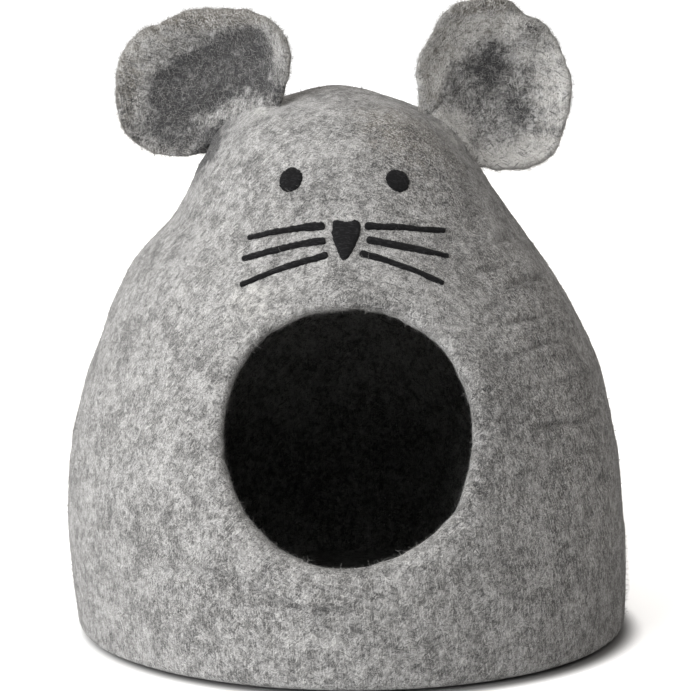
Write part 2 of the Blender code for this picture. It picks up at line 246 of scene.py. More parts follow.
class Recipe:
    """A material's nodes while they are written."""

    def __init__(self, name: str) -> None:
        """Start from Blender's plain shader.

        Args:
            name: The material's name.
        """
        self.material = bpy.data.materials.new(name)
        self.material.use_nodes = True
        self.tree = self.material.node_tree
        self.shader = self.tree.nodes["Principled BSDF"]

    def feed(self, socket: bpy.types.NodeSocket, value: Any) -> None:
        """Set a socket to a value, or link it to a strand.

        Args:
            socket: The input socket.
            value: The value or strand.
        """
        if isinstance(value, Strand):
            self.tree.links.new(value.socket, socket)
        else:
            socket.default_value = value

    def node(self, kind: str, settings: dict[str, Any], sockets: dict[Any, Any], out: Any = 0) -> "Strand":
        """Add a node.

        Args:
            kind: The node's type.
            settings: Its settings, which are set first.
            sockets: Values or strands for its input sockets, by name or number.
            out: The output socket that is wanted, by name or number.

        Returns:
            That output.
        """
        new = self.tree.nodes.new(kind)
        for name, value in settings.items():
            setattr(new, name, value)
        for name, value in sockets.items():
            self.feed(new.inputs[name], value)
        return Strand(self, new.outputs[out])

    def blend(self, share: Any, first: Any, second: Any) -> "Strand":
        """Mix two colours.

        Args:
            share: How much of the second, from 0 to 1.
            first: A colour of three numbers, or a strand.
            second: The same.

        Returns:
            The mixed colour.
        """
        a, b = [(*colour, 1.0) if isinstance(colour, tuple) else colour for colour in (first, second)]
        settings = {"data_type": "RGBA", "clamp_factor": True}
        return self.node("ShaderNodeMix", settings, {0: share, 6: a, 7: b}, 2)      # 6, 7 and 2 are colours

    def place(self, seed: float = 0.0, wander: float = 0.0, pitch: float = 1.0) -> "Strand":
        """Return the surface's own coordinates.

        Args:
            seed: Moves the pattern to another place.
            wander: How far the places are pushed about, in metres.
            pitch: How wide that pushing is, in metres.

        Returns:
            The places, as vectors.
        """
        where = self.node("ShaderNodeTexCoord", {}, {}, "Object")
        if wander:
            push = self.node(
                "ShaderNodeTexNoise", {}, {"Vector": where, "Scale": 1.0 / pitch, "Detail": 1.0}, "Color"
            )
            settings = {"operation": "MULTIPLY_ADD"}
            where = self.node("ShaderNodeVectorMath", settings, {0: push, 1: (wander,) * 3, 2: where})
        return self.node("ShaderNodeVectorMath", {"operation": "ADD"}, {0: where, 1: (seed,) * 3})

    def cloud(self, where: "Strand", size: float, detail: float = 1.0) -> "Strand":
        """Return soft random blotches around 0.5, as wide as size."""
        sockets = {"Vector": where, "Scale": 1.0 / size, "Detail": detail, "Roughness": CLOUD_ROUGHNESS}
        return self.node("ShaderNodeTexNoise", {}, sockets, 0)

    def rise(self, value: Any, low: float, high: float) -> "Strand":
        """Rise smoothly from 0 to 1 as a value goes from low to high."""
        sockets = {"Value": value, "From Min": low, "From Max": high}
        return self.node("ShaderNodeMapRange", {"interpolation_type": "SMOOTHSTEP"}, sockets)

    def streaks(self, seed: float, stretch: Triple, lean: Triple = (0.0, 0.0, 0.0),
                curl: Pair = (0.3, 0.8), detail: float = 1.0) -> "Strand":
        """Return soft streaks that curl and lie roughly one way, such as fibres or ripples.

        Args:
            seed: Which streaks.
            stretch: How long they are along their own three axes, in metres.
            lean: The way they lie, as turns from +X about the three axes, in degrees.
            curl: How far and how widely they curl, in lengths of a streak.
            detail: How much finer unevenness is added.

        Returns:
            Numbers around 0.5, high on some streaks and low on others.
        """
        where = self.place(seed, curl[0] * stretch[0], curl[1] * stretch[0])
        turn = tuple(math.radians(angle) for angle in lean)
        sockets = {"Vector": where, "Rotation": turn, "Scale": stretch}
        return self.cloud(self.node("ShaderNodeMapping", {"vector_type": "TEXTURE"}, sockets), 1.0, detail)

    def bump(self, strength: float, depth: float, height: "Strand") -> "Strand":
        """Return normals that follow a height, times a depth in metres."""
        return self.node("ShaderNodeBump", {}, {"Strength": strength, "Distance": depth, "Height": height})

    def finish(self, inputs: dict[str, Any]) -> bpy.types.Material:
        """Set the shader's inputs.

        Args:
            inputs: Values or strands, by the input's name.

        Returns:
            The material.
        """
        for name, value in inputs.items():
            self.feed(self.shader.inputs[name], value)
        return self.material


class Strand:
    """A value that varies over the surface: an output socket that takes part in arithmetic."""

    def __init__(self, recipe: Recipe, socket: bpy.types.NodeSocket) -> None:
        """Keep the socket and the recipe that it belongs to."""
        self.recipe = recipe
        self.socket = socket

    def math(self, operation: str, *terms: Any) -> "Strand":
        """Add a Math node on these terms."""
        return self.recipe.node("ShaderNodeMath", {"operation": operation}, dict(enumerate(terms)))

    def __add__(self, other: Any) -> "Strand":
        """Add."""
        return self.math("ADD", self, other)

    def __sub__(self, other: Any) -> "Strand":
        """Take away."""
        return self.math("SUBTRACT", self, other)

    def __rsub__(self, other: Any) -> "Strand":
        """Take this away from a number."""
        return self.math("SUBTRACT", other, self)

    def __mul__(self, other: Any) -> "Strand":
        """Multiply."""
        return self.math("MULTIPLY", self, other)

    __radd__ = __add__
    __rmul__ = __mul__


@dataclass(frozen=True)
class HeatherFelt:
    """Wet-felted wool of mixed shades: curly fibres, pale and dark, over soft blotches.

    Each row of fibres is a seed, the way they lie, their length and width, and how much the dark and
    the pale ones show. Each row of hairs, which are long, dark and few, is the same without the last two.
    The drift is a seed and how far and how widely the blotches wander. A range such as valley runs from
    the random value where a thing starts to show to the one where it is full, and valley_by_clump is how
    much it shows between the thick clumps of wool and how much more inside them.
    """

    name: str
    slot: Slot
    contrast: float = 1.1               # how strongly the fibres show
    shade: Colour = (0.125, 0.124, 0.122)
    bright: Colour = (0.32, 0.319, 0.316)
    charcoal_and_painted_shade: Colour = (0.016, 0.016, 0.018)
    brown: Colour = (0.155, 0.142, 0.122)
    pale_and_painted_light: Colour = (0.49, 0.486, 0.47)
    dark_fibre: Colour = (0.04, 0.04, 0.041)
    light_fibre: Colour = (0.48, 0.476, 0.465)
    smudge: Colour = (0.08, 0.072, 0.064)
    drift: Triple = (3.1, 0.007, 0.012)
    broad: float = 0.034                # the size of the broad blotches
    broad_share: float = 0.32           # and their share; the small patches have the rest
    patch: float = 0.0062               # the size of the small patches
    patch_detail: float = 3.0
    patch_height: float = 0.9
    soft: float = 0.115                 # how far on both sides of 0.5 the blotches' shade changes
    detail: float = 2.0
    clump: float = 0.015                # the size of the thick clumps, which show more dark fibres
    clumped: Pair = (0.36, 0.64)
    fray: float = 0.007                 # the size of the frays where two wools meet
    raggedness: float = 2.0             # and how strong they are
    fray_end: float = 1.3
    fray_gain: float = 3.0
    cover: float = 0.96                 # how fully charcoal wool and painted shade, warm wool, pale wool and painted light cover the grey
    hush: float = 0.8                   # how much charcoal wool and painted shade hide the pale fibres
    mild: float = 0.45                  # how much pale wool and painted light hide the dark fibres
    coarse: float = 0.9                 # how much more the fibres show in creases and in warm wool
    ripples: Triple = (0.034, 0.034, 0.0085)  # the length, depth and height of a ripple in creased felt
    ripple_seed: float = 61.3
    ripple_curl: Pair = (0.2, 0.7)
    rippled: Pair = (0.52, 0.34)
    # how dark the shade painted in the ripples is
    painted_ripple_darkness: float = 0.55
    ripple_height: float = 4.5
    smudged: Pair = (0.55, 0.36)
    smudge_share: float = 0.45
    fibres: tuple[tuple[float, Triple, float, float, float, float], ...] = (
        (11.7, (0.0, 12.0, 0.0), 0.0085, 0.001, 0.44, 0.4),
        (29.3, (0.0, -48.0, 0.0), 0.0072, 0.001, 0.42, 0.4),
        (47.9, (0.0, 78.0, 35.0), 0.0078, 0.001, 0.42, 0.38),
    )
    valley: Pair = (0.47, 0.3)
    valley_by_clump: Pair = (0.45, 0.75)
    ridge: Pair = (0.53, 0.7)
    ridge_by_clump: Pair = (1.2, -0.6)
    fibre_height: float = 0.8
    hairs: tuple[tuple[float, Triple, float, float], ...] = (
        (83.1, (0.0, 28.0, 0.0), 0.019, 0.00085),
        (97.7, (0.0, -32.0, 20.0), 0.016, 0.00085),
    )
    hair: Pair = (0.37, 0.29)
    hair_share: float = 0.75
    relief: float = 0.9
    pile_depth: float = 0.0012

    def dress(self) -> bpy.types.Material:
        """Write the material.

        Returns:
            The material.
        """
        mix = Recipe(self.name)
        where = mix.place(*self.drift)
        patchy = mix.cloud(where, self.patch, self.patch_detail)
        uneven = mix.cloud(where, self.broad) * self.broad_share + patchy * (1.0 - self.broad_share)
        wool = mix.blend(mix.rise(uneven, 0.5 - self.soft, 0.5 + self.soft), self.shade, self.bright)
        clump = mix.rise(mix.cloud(where, self.clump, self.detail), *self.clumped)
        tint, creased = [mix.node("ShaderNodeAttribute", {"attribute_name": TINT}, {}, out)
                         for out in ("Color", "Alpha")]
        # the tint's red holds charcoal wool and painted shade, its blue pale wool and painted light
        charcoal_and_painted_shade, warm, pale_and_painted_light = [mix.node("ShaderNodeSeparateColor", {}, {0: tint}, k) for k in range(3)]
        ragged = (mix.cloud(where, self.fray, self.detail) - 0.5) * self.raggedness
        for part, colour in ((pale_and_painted_light, self.pale_and_painted_light), (warm, self.brown), (charcoal_and_painted_shade, self.charcoal_and_painted_shade)):
            share = mix.rise(part + ragged * part * (self.fray_end - part) * self.fray_gain, 0.0, 1.0)
            wool = mix.blend(share * self.cover, wool, colour)
        calm, mild = 1.0 - charcoal_and_painted_shade * self.hush, 1.0 - pale_and_painted_light * self.mild
        ripple = mix.streaks(self.ripple_seed, self.ripples, curl=self.ripple_curl, detail=self.detail)
        # shade painted in the ripples of creased felt, alongside their bump
        painted_ripple_shade = mix.rise(ripple, *self.rippled) * creased
        wool = mix.blend(painted_ripple_shade * self.painted_ripple_darkness, wool, self.dark_fibre)
        smudged = mix.rise(patchy, *self.smudged) * (creased + warm)
        wool = mix.blend(smudged * self.smudge_share, wool, self.smudge)
        height = patchy * self.patch_height + ripple * creased * self.ripple_height
        stark = self.contrast + creased * self.coarse + warm * self.coarse
        dark_most, light_most = [low + gain * clump
                                 for low, gain in (self.valley_by_clump, self.ridge_by_clump)]
        for seed, lean, length, width, dark, light in self.fibres:
            fibre = mix.streaks(seed, (length, width, width), lean)
            valley, ridge = mix.rise(fibre, *self.valley), mix.rise(fibre, *self.ridge)
            wool = mix.blend(valley * dark * stark * mild * dark_most, wool, self.dark_fibre)
            wool = mix.blend(ridge * light * stark * calm * light_most, wool, self.light_fibre)
            height = height + fibre * self.fibre_height
        for seed, lean, length, width in self.hairs:
            hair = mix.rise(mix.streaks(seed, (length, width, width), lean), *self.hair)
            wool = mix.blend(hair * self.hair_share, wool, self.dark_fibre)
        return mix.finish({
            "Base Color": wool, "Normal": mix.bump(self.relief, self.pile_depth, height),
            "Roughness": 0.92, "Specular IOR Level": 0.15, "Sheen Weight": 0.12, "Sheen Roughness": 0.45,
        })


@dataclass(frozen=True)
class BlackFelt:
    """Needle-felted black wool, a little paler where its fibres stand up."""

    name: str = "black_wool"
    slot: Slot = Slot.BLACK
    body: Colour = (0.005, 0.005, 0.0056)  # the felt's own colour
    stray: Colour = (0.03, 0.03, 0.032)  # the colour of the fibres that stand up
    stray_share: float = 0.9
    fibre_seed: float = 5.0
    fibre: Triple = (0.005, 0.0009, 0.0009)
    lean: Triple = (0.0, 8.0, 0.0)
    standing: Pair = (0.5, 0.68)
    blotch_seed: float = 8.0
    blotch: float = 0.0022
    detail: float = 2.0
    fibre_height: float = 0.6
    relief: float = 0.6
    pile_depth: float = 0.0005

    def dress(self) -> bpy.types.Material:
        """Write the material.

        Returns:
            The material.
        """
        mix = Recipe(self.name)
        fibres = mix.rise(mix.streaks(self.fibre_seed, self.fibre, self.lean), *self.standing)
        uneven = mix.cloud(mix.place(self.blotch_seed), self.blotch, self.detail)
        return mix.finish({
            "Base Color": mix.blend(fibres * uneven * self.stray_share, self.body, self.stray),
            "Normal": mix.bump(self.relief, self.pile_depth, fibres * self.fibre_height + uneven),
            "Roughness": 0.95, "Specular IOR Level": 0.12, "Sheen Weight": 0.05,
        })


# ---- Meshes --------------------------------------------------------------------------------------

def place_object(name: str, data: Any) -> bpy.types.Object:
    """Put an object into the scene.

    Args:
        name: Its name.
        data: Its mesh, light or camera.

    Returns:
        The object.
    """
    made = bpy.data.objects.new(name, data)
    bpy.context.scene.collection.objects.link(made)
    return made


@dataclass
class Cloth:
    """A closed mesh in the making: points, faces, a UV place for each face corner and tints."""

    points: Points
    faces: list[tuple[int, ...]]
    corners: list[Pair]

    def piece(self, name: str, material: bpy.types.Material, tints: Points | None = None) -> bpy.types.Object:
        """Make the object.

        Args:
            name: Its name.
            material: Its finish.
            tints: The four amounts at each point.

        Returns:
            The object, smooth shaded, in the scene.
        """
        mesh = bpy.data.meshes.new(name)
        mesh.from_pydata(self.points.tolist(), [], self.faces)
        mesh.uv_layers.new(name=UV_NAME).data.foreach_set("uv", np.ravel(self.corners))
        if tints is not None:
            colour = mesh.color_attributes.new(name=TINT, type="FLOAT_COLOR", domain="POINT")
            colour.data.foreach_set("color", tints.ravel())
        mesh.materials.append(material)
        mesh.validate()
        mesh.shade_smooth()
        return place_object(name, mesh)

    def normals(self) -> Points:
        """Measure the smooth normal of each point.

        Returns:
            The normals, one a row.
        """
        mesh = bpy.data.meshes.new("measured")
        mesh.from_pydata(self.points.tolist(), [], self.faces)
        flat = np.zeros(len(self.points) * 3, np.float32)
        mesh.vertex_normals.foreach_get("vector", flat)
        bpy.data.meshes.remove(mesh)
        return flat.reshape(-1, 3).astype(float)

    def tree(self) -> BVHTree:
        """Return a tree that finds the surface."""
        return BVHTree.FromPolygons([Vector(p) for p in self.points], self.faces)


def fasten(piece: bpy.types.Object, slot: Slot, *nodes: str) -> bpy.types.Object:
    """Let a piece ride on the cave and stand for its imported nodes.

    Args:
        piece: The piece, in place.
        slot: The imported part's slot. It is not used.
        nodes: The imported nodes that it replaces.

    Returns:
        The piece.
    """
    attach(piece, "root")
    if nodes:
        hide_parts(*nodes)
    LOG.info("%s: %d points, %d faces", piece.name, len(piece.data.vertices), len(piece.data.polygons))
    return piece


def disc_places(cells: int, crowd: float) -> tuple[Numbers, Numbers]:
    """Squeeze a square grid into a round disc.

    Args:
        cells: Grid cells across.
        crowd: How much closer the grid lies at the rim, from 0 to 1.

    Returns:
        Each grid point's turn in degrees and its share of the way from the middle to the rim.
    """
    line = np.linspace(-1.0, 1.0, cells + 1)
    x, y = np.meshgrid(line, line)
    x, y = x * np.sqrt(1.0 - y * y / 2.0), y * np.sqrt(1.0 - x * x / 2.0)
    share = np.minimum(1.0, np.hypot(x, y))
    return np.degrees(np.arctan2(y, x)), share * (1.0 + crowd * (1.0 - share))


def two_layers(front: Points, back: Points) -> Cloth:
    """Join two grids of points that meet at their edges into one closed sheet.

    Args:
        front: The front layer, rows by columns by 3.
        back: The back layer; its edge points are the front's.

    Returns:
        The sheet, with the front layer's points first.
    """
    rows, columns = front.shape[:2]
    number = np.arange(rows * columns).reshape(rows, columns)
    behind = number.copy()
    inner = (slice(1, rows - 1), slice(1, columns - 1))
    behind[inner] = rows * columns + np.arange((rows - 2) * (columns - 2)).reshape(rows - 2, columns - 2)
    faces: list[tuple[int, ...]] = []
    corners: list[Pair] = []
    for layer, offset in ((number, 0.0), (behind, BACK_HALF)):
        for i in range(rows - 1):
            for j in range(columns - 1):
                cell = [(i, j), (i, j + 1), (i + 1, j + 1), (i + 1, j)]
                if offset:
                    cell.reverse()
                faces.append(tuple(int(layer[a, b]) for a, b in cell))
                corners += [(offset + LAYER_WIDTH * b / (columns - 1), a / (rows - 1)) for a, b in cell]
    points = np.concatenate([front.reshape(-1, 3), back[inner].reshape(-1, 3)])
    return Cloth(points, faces, corners)


# ---- Loose fibres --------------------------------------------------------------------------------

@dataclass(frozen=True)
class LooseWool:
    """The plain finish of loose fibres, which are too thin to show more."""

    name: str
    slot: Slot
    colour: Colour

    def dress(self) -> bpy.types.Material:
        """Write the material."""
        inputs = {"Base Color": (*self.colour, 1.0), "Roughness": 0.9, "Specular IOR Level": 0.2}
        return Recipe(self.name).finish(inputs)


@dataclass(frozen=True)
class Fuzz:
    """Loose fibres that stand a little off a felted surface, as thin bent ribbons.

    The reach is how far a fibre's end stands off the surface, and most of them lie near it.
    """

    name: str
    wool: LooseWool
    count: int
    seed: int
    length: Pair = (0.0035, 0.0085)
    reach: Pair = (0.0005, 0.0042)
    width: float = 0.0002
    joints: int = 2                     # how many straight parts a fibre has
    most_bend: float = 0.9
    lying: float = 1.6                  # above 1, more of the fibres lie low
    taper: float = 0.5                  # how much of its width a fibre loses towards its end

    def roots(self, cloth: Cloth, chosen: Numbers) -> tuple[Points, Points]:
        """Scatter the fibres' roots evenly over part of a surface.

        Args:
            cloth: The surface.
            chosen: Whether each of its points is in that part.

        Returns:
            The roots, and the surface's normals there.
        """
        dice = np.random.default_rng(self.seed)
        rows = np.array([face[:3] for face in cloth.faces if chosen[list(face)].all()])
        a, b, c = (cloth.points[rows[:, k]] for k in range(3))
        normal = np.cross(b - a, c - a)
        area = apart(normal)
        pick = dice.choice(len(rows), self.count, p=area / area.sum())
        s, t = dice.uniform(0.0, 1.0, (2, self.count, 1))
        spots = a[pick] + (b - a)[pick] * s + (c - b)[pick] * s * t
        return spots, normal[pick] / area[pick, None]

    def build(self, cloth: Cloth, chosen: Numbers) -> bpy.types.Object:
        """Make the fibres.

        Args:
            cloth: The surface.
            chosen: Whether each of its points may bear fibres.

        Returns:
            The fibres, as one piece.
        """
        spots, out = self.roots(cloth, chosen)
        dice = np.random.default_rng(self.seed + 1)
        along = unit(np.cross(out, dice.normal(size=out.shape)))
        bend = np.cross(out, along) * dice.uniform(-self.most_bend, self.most_bend, (self.count, 1))
        length = dice.uniform(*self.length, (self.count, 1)) / math.hypot(1.0, self.most_bend)
        standing = dice.uniform(0.0, 1.0, (self.count, 1)) ** self.lying
        reach = self.reach[0] + (self.reach[1] - self.reach[0]) * standing
        side = np.cross(out, along) * self.width / 2.0
        points = []
        for k in range(self.joints + 1):
            t = k / self.joints
            middle = spots + length * (along * t + bend * t * t) + out * (reach * t * (2.0 - t) - self.width)
            slim = side * (1.0 - self.taper * t)
            points += [middle - slim, middle + slim]
        grid = np.stack(points, axis=1)
        per = grid.shape[1]
        quads = np.array([(2 * k, 2 * k + 1, 2 * k + 3, 2 * k + 2) for k in range(self.joints)])
        faces = (np.arange(self.count)[:, None, None] * per + quads[None]).reshape(-1, 4)
        corners = np.tile([(0.0, 0.0), (1.0, 0.0), (1.0, 1.0), (0.0, 1.0)], (len(faces), 1))
        hairs = Cloth(grid.reshape(-1, 3), [tuple(face) for face in faces.tolist()], corners.tolist())
        return fasten(hairs.piece(self.name, self.wool.dress()), self.wool.slot)


# ---- The dome ------------------------------------------------------------------------------------

@dataclass(frozen=True)
class Swell:
    """A soft bulge or dent: its turn round the dome in degrees, height, reach and rise."""

    turn: float
    height: float
    reach: float
    rise: float


@dataclass(frozen=True)
class Crease:
    """A crease in the front wall, along (x, z) places, with its depth and half width, and shade painted along
    it.
    """

    places: tuple[Pair, ...]
    depth: float
    width: float = 0.003
    # how dark the shade painted along the crease is
    shade: float = 0.24
    puff: float = 1.1                   # how much the felt rises beside the crease
    narrow: float = 1.6                 # above 1, the painted shade is narrower than the crease
    step: float = 0.001                 # how closely the crease is measured

    def distance(self, points: Points, dome: "Dome") -> tuple[Numbers, Numbers]:
        """Measure how far these points of the wall are from the crease.

        Args:
            points: Points of the wall, one a row.
            dome: The dome.

        Returns:
            Each one's distance in half widths, and how deep the crease is beside it, from 0 at its
            ends to 1.
        """
        spots = [np.array(self.places[0])[None]]
        for start, end in zip(np.array(self.places), np.array(self.places[1:])):
            count = math.ceil(np.linalg.norm(end - start) / self.step)
            spots.append(start + (end - start) * np.linspace(0.0, 1.0, count + 1)[1:, None])
        x, z = np.concatenate(spots).T
        line = dome.front(x, z)
        gaps = apart(points[:, None], line)
        nearest = gaps.argmin(axis=1)
        fade = 1.0 - np.abs(2.0 * nearest / (len(line) - 1) - 1.0) ** 3
        return gaps[np.arange(len(points)), nearest] / self.width, fade

    def rise(self, points: Points, dome: "Dome") -> Numbers:
        """Return how far the crease moves these points of the wall: in along it, out beside it."""
        away, fade = self.distance(points, dome)
        return self.depth * fade * (self.puff * away**2 - 1.0) * bell(away)

    def painted_shade(self, points: Points, dome: "Dome") -> Numbers:
        """Return the shade painted along the crease at these points, as an amount of charcoal."""
        away, fade = self.distance(points, dome)
        return self.shade * fade * bell(away) ** self.narrow


@dataclass(frozen=True)
class Tuft(Amounts):
    """A patch of other wool, of creases, of painted shade or of painted light: its middle and its reach, and
    what it holds.
    """

    middle: Triple
    reach: float


@dataclass(frozen=True)
class Dome:
    """The body: one felted shell with a flat base, a rolled doorway and an open inside."""

    sections: tuple[Triple, ...] = (    # height, half width and shift towards +X
        (0.0, 0.198, 0.004),
        (0.001, 0.211, 0.0039),
        (0.0028, 0.2188, 0.0038),
        (0.0065, 0.2214, 0.0037),
        (0.014, 0.2224, 0.0034),
        (0.032, 0.2236, 0.0024),
        (0.062, 0.2247, 0.001),
        (0.098, 0.2243, -0.001),
        (0.138, 0.2205, -0.0022),
        (0.178, 0.2129, -0.0026),
        (0.216, 0.2022, -0.0022),
        (0.25, 0.1884, -0.0032),
        (0.282, 0.1719, -0.0049),
        (0.306, 0.155, -0.006),
        (0.33, 0.136, -0.0048),
        (0.354, 0.1216, -0.006),
        (0.376, 0.109, -0.0072),
        (0.4, 0.0892, -0.0087),
        (0.42, 0.06, -0.0093),
        (0.4349, 0.0, -0.0095),
    )
    steps: int = 24                     # samples from one section to the next
    door_x: float = 0.0005              # the doorway's middle
    door_z: float = 0.1865
    door: Rim = Rim((
        (0.0, 0.092), (40.0, 0.092), (90.0, 0.0888), (140.0, 0.0912), (180.0, 0.0914), (205.0, 0.0924),
        (232.0, 0.095), (270.0, 0.0926), (300.0, 0.0938), (322.0, 0.0954), (340.0, 0.0934),
    ))
    swells: tuple[Swell, ...] = (
        Swell(-170.0, 0.295, 0.04, 0.0024),
        Swell(-165.0, 0.345, 0.03, -0.0022),
        Swell(-12.0, 0.2, 0.06, 0.0022),
        Swell(-150.0, 0.11, 0.08, 0.0025),
        Swell(-35.0, 0.06, 0.07, 0.002),
        Swell(-88.0, 0.052, 0.05, 0.0025),
        Swell(70.0, 0.16, 0.11, 0.0035),
        Swell(120.0, 0.29, 0.07, -0.0025),
        Swell(20.0, 0.32, 0.05, 0.002),
    )
    swell_start: float = 0.03           # the swells fade out below this height
    wall: float = 0.007                 # the felt's thickness
    lip_wall: float = 0.0095            # and its thickness at the doorway
    collar: float = 0.02                # how wide the rolled edge of the doorway is
    lip_depth: float = 0.0112           # how far it is rolled in
    lip_lean: float = 0.3               # how much farther at the top, and less far at the bottom
    lip_wobble: tuple[Pair, ...] = ((0.022, 0.0009), (0.009, 0.0006))  # sizes and heights
    lip_seed: int = 90
    lip_round: float = 0.0065           # how round it is on the inside
    lip_rings: int = 8
    lip_reach: float = 0.02             # how slowly the wall thins away from the doorway
    inner_share: float = 0.55           # how much of the unevenness there is inside
    columns: int = 400
    rings: int = 168
    crowd: float = 0.6                  # how much closer the rings lie near the doorway
    closest: float = 0.0014             # a ring is thinned while its points lie closer than this
    fewest: int = 12                    # and it has more points than this
    farthest: float = 0.5               # farther than any place of the wall is from the heart
    halvings: int = 28                  # how often a ray's range is halved to find the wall
    tilts: tuple[float, float, int] = (0.15, math.pi, 520)  # the rays' first and last tilt, and their count
    door_tilt: float = 62.0             # the collar lies within this tilt, in degrees
    wool_lumps: tuple[Pair, ...] = (    # sizes and heights
        (0.048, 0.0011), (0.024, 0.0007), (0.0105, 0.00045), (0.0056, 0.00022),
    )
    ripple_rise: float = 0.0014         # how high the level ripples in creased felt are
    ripple_stretch: Triple = (4.0, 4.0, 1.0)
    ripple_width: float = 0.0085
    ripple_seed: int = 71
    flat_foot: float = 0.012            # all unevenness fades out below this height
    # each crease has shade painted along it, as charcoal
    creases: tuple[Crease, ...] = (
        Crease(((0.108, 0.317), (0.12, 0.3188), (0.131, 0.318), (0.143, 0.32)), 0.0016),
        Crease(((0.09, 0.2975), (0.104, 0.3003), (0.118, 0.3008), (0.134, 0.3048)), 0.002),
        Crease(((0.118, 0.2862), (0.135, 0.2893), (0.147, 0.2888), (0.162, 0.2928)), 0.0023),
        Crease(((0.1, 0.2735), (0.112, 0.276), (0.126, 0.2786)), 0.0016),
        Crease(((0.115, 0.26), (0.132, 0.2636), (0.145, 0.2624), (0.164, 0.266)), 0.0023),
        Crease(((0.132, 0.2412), (0.15, 0.2444), (0.164, 0.2422), (0.181, 0.2446)), 0.0024),
        Crease(((0.108, 0.2352), (0.124, 0.238), (0.143, 0.2396)), 0.0016),
        Crease(((0.145, 0.2155), (0.164, 0.2152), (0.18, 0.2122), (0.198, 0.213)), 0.0026),
        Crease(((0.162, 0.2014), (0.178, 0.2002), (0.19, 0.1966), (0.203, 0.1968)), 0.002),
        Crease(((0.14, 0.1862), (0.161, 0.1856), (0.179, 0.1822), (0.199, 0.1822)), 0.0026),
        Crease(((0.16, 0.164), (0.176, 0.163), (0.19, 0.1586), (0.208, 0.157)), 0.002),
        Crease(((0.13, 0.156), (0.148, 0.1566), (0.162, 0.1536), (0.178, 0.154)), 0.0017),
        Crease(((-0.162, 0.079), (-0.1259, 0.0846), (-0.098, 0.0876), (-0.07, 0.085)),
               0.0026, width=0.0036, shade=0.42),
        Crease(((-0.078, 0.0838), (-0.056, 0.0728), (-0.0343, 0.0658), (-0.0103, 0.0649), (0.022, 0.0676)),
               0.0026, width=0.0036, shade=0.42),
    )
    tufts: tuple[Tuft, ...] = (
        Tuft((0.037, -0.07, 0.404), 0.028, charcoal_and_painted_shade=0.06, warm=0.85),
        Tuft((0.064, -0.064, 0.39), 0.024, charcoal_and_painted_shade=0.16, warm=0.6),
        # painted shade below the right ear's root, over warm wool
        Tuft((0.0836, -0.0577, 0.3751), 0.014, charcoal_and_painted_shade=0.25, warm=0.3),
        Tuft((-0.0664, -0.0361, 0.4157), 0.016, pale_and_painted_light=0.5),
        Tuft((0.175, -0.11, 0.215), 0.065, charcoal_and_painted_shade=0.05, warm=0.15, creases=1.0),
        Tuft((0.14, -0.09, 0.29), 0.05, warm=0.1, creases=0.9),
        Tuft((0.19, -0.1, 0.1), 0.095, warm=0.2, creases=0.8),
        Tuft((-0.09, -0.2, 0.078), 0.045, creases=0.2),
        Tuft((-0.02, -0.22, 0.07), 0.04, creases=0.2),
        Tuft((0.078, -0.084, 0.365), 0.048, creases=0.9),
        # painted shade under the left ear, with the dark wool of its root
        Tuft((-0.11, -0.016, 0.384), 0.024, charcoal_and_painted_shade=1.3, warm=0.1),
        Tuft((0.085, -0.028, 0.403), 0.016, charcoal_and_painted_shade=-0.1, pale_and_painted_light=0.8),
        # these two paint shade beside the doorway's right edge and its rolled lip
        Tuft((0.108, -0.174, 0.198), 0.038, charcoal_and_painted_shade=0.46, warm=0.15),
        Tuft((0.0985, -0.193, 0.148), 0.022, charcoal_and_painted_shade=0.28, warm=0.1),
        # painted light on the doorway's rolled edge, up on the left
        Tuft((-0.07, -0.159, 0.282), 0.023, pale_and_painted_light=0.5),
    )
    flat: Pair = (0.9, 0.86)
    area: float = 0.634
    wool: HeatherFelt = HeatherFelt("grey_wool", Slot.GREY)
    fuzz: Fuzz = Fuzz("body_fuzz", LooseWool("loose_grey_wool", Slot.GREY, (0.23, 0.228, 0.222)), 48000, 101)
    lip_fuzz: Fuzz = Fuzz(
        "doorway_fuzz", LooseWool("loose_doorway_wool", Slot.GREY, (0.21, 0.208, 0.202)), 5000, 104,
        length=(0.0022, 0.0052), reach=(0.0003, 0.0016), width=0.00012,
    )
    lip_fuzz_reach: float = 0.005       # how far out from its edge the doorway's fibres grow
    bare_foot: float = 0.009            # no loose fibres grow below this height
    bare_face: float = 0.0022           # nor closer than this to the black felt

    @cached_property
    def profile(self) -> Numbers:
        """Run a smooth curve through the sections.

        Returns:
            Dense rows of height, half width and shift, from the base's edge to the top.
        """
        rows = np.array(self.sections)
        below = rows[0] - (0.0, rows[1, 1] - rows[0, 1], 0.0)
        above = (rows[-2, 0], -rows[-2, 1], rows[-1, 2])
        return curve_through(np.vstack([below, rows, above]), self.steps)

    @cached_property
    def heart(self) -> Points:
        """Return the point inside the dome, level with the doorway's middle, that the rings turn round."""
        return np.array([self.door_x, 0.0, self.door_z])

    def level(self, heights: Numbers) -> tuple[Numbers, Numbers]:
        """Return the dome's half width and shift at these heights."""
        z, half, shift = self.profile.T
        return np.interp(heights, z, half), np.interp(heights, z, shift)

    def front(self, x: Numbers, z: Numbers) -> Points:
        """Return the points of the wall that are seen at these places from in front."""
        half, shift = self.level(z)
        return stacked(x, -np.sqrt(np.maximum(half**2 - (x - shift) ** 2, 0.0)), z)

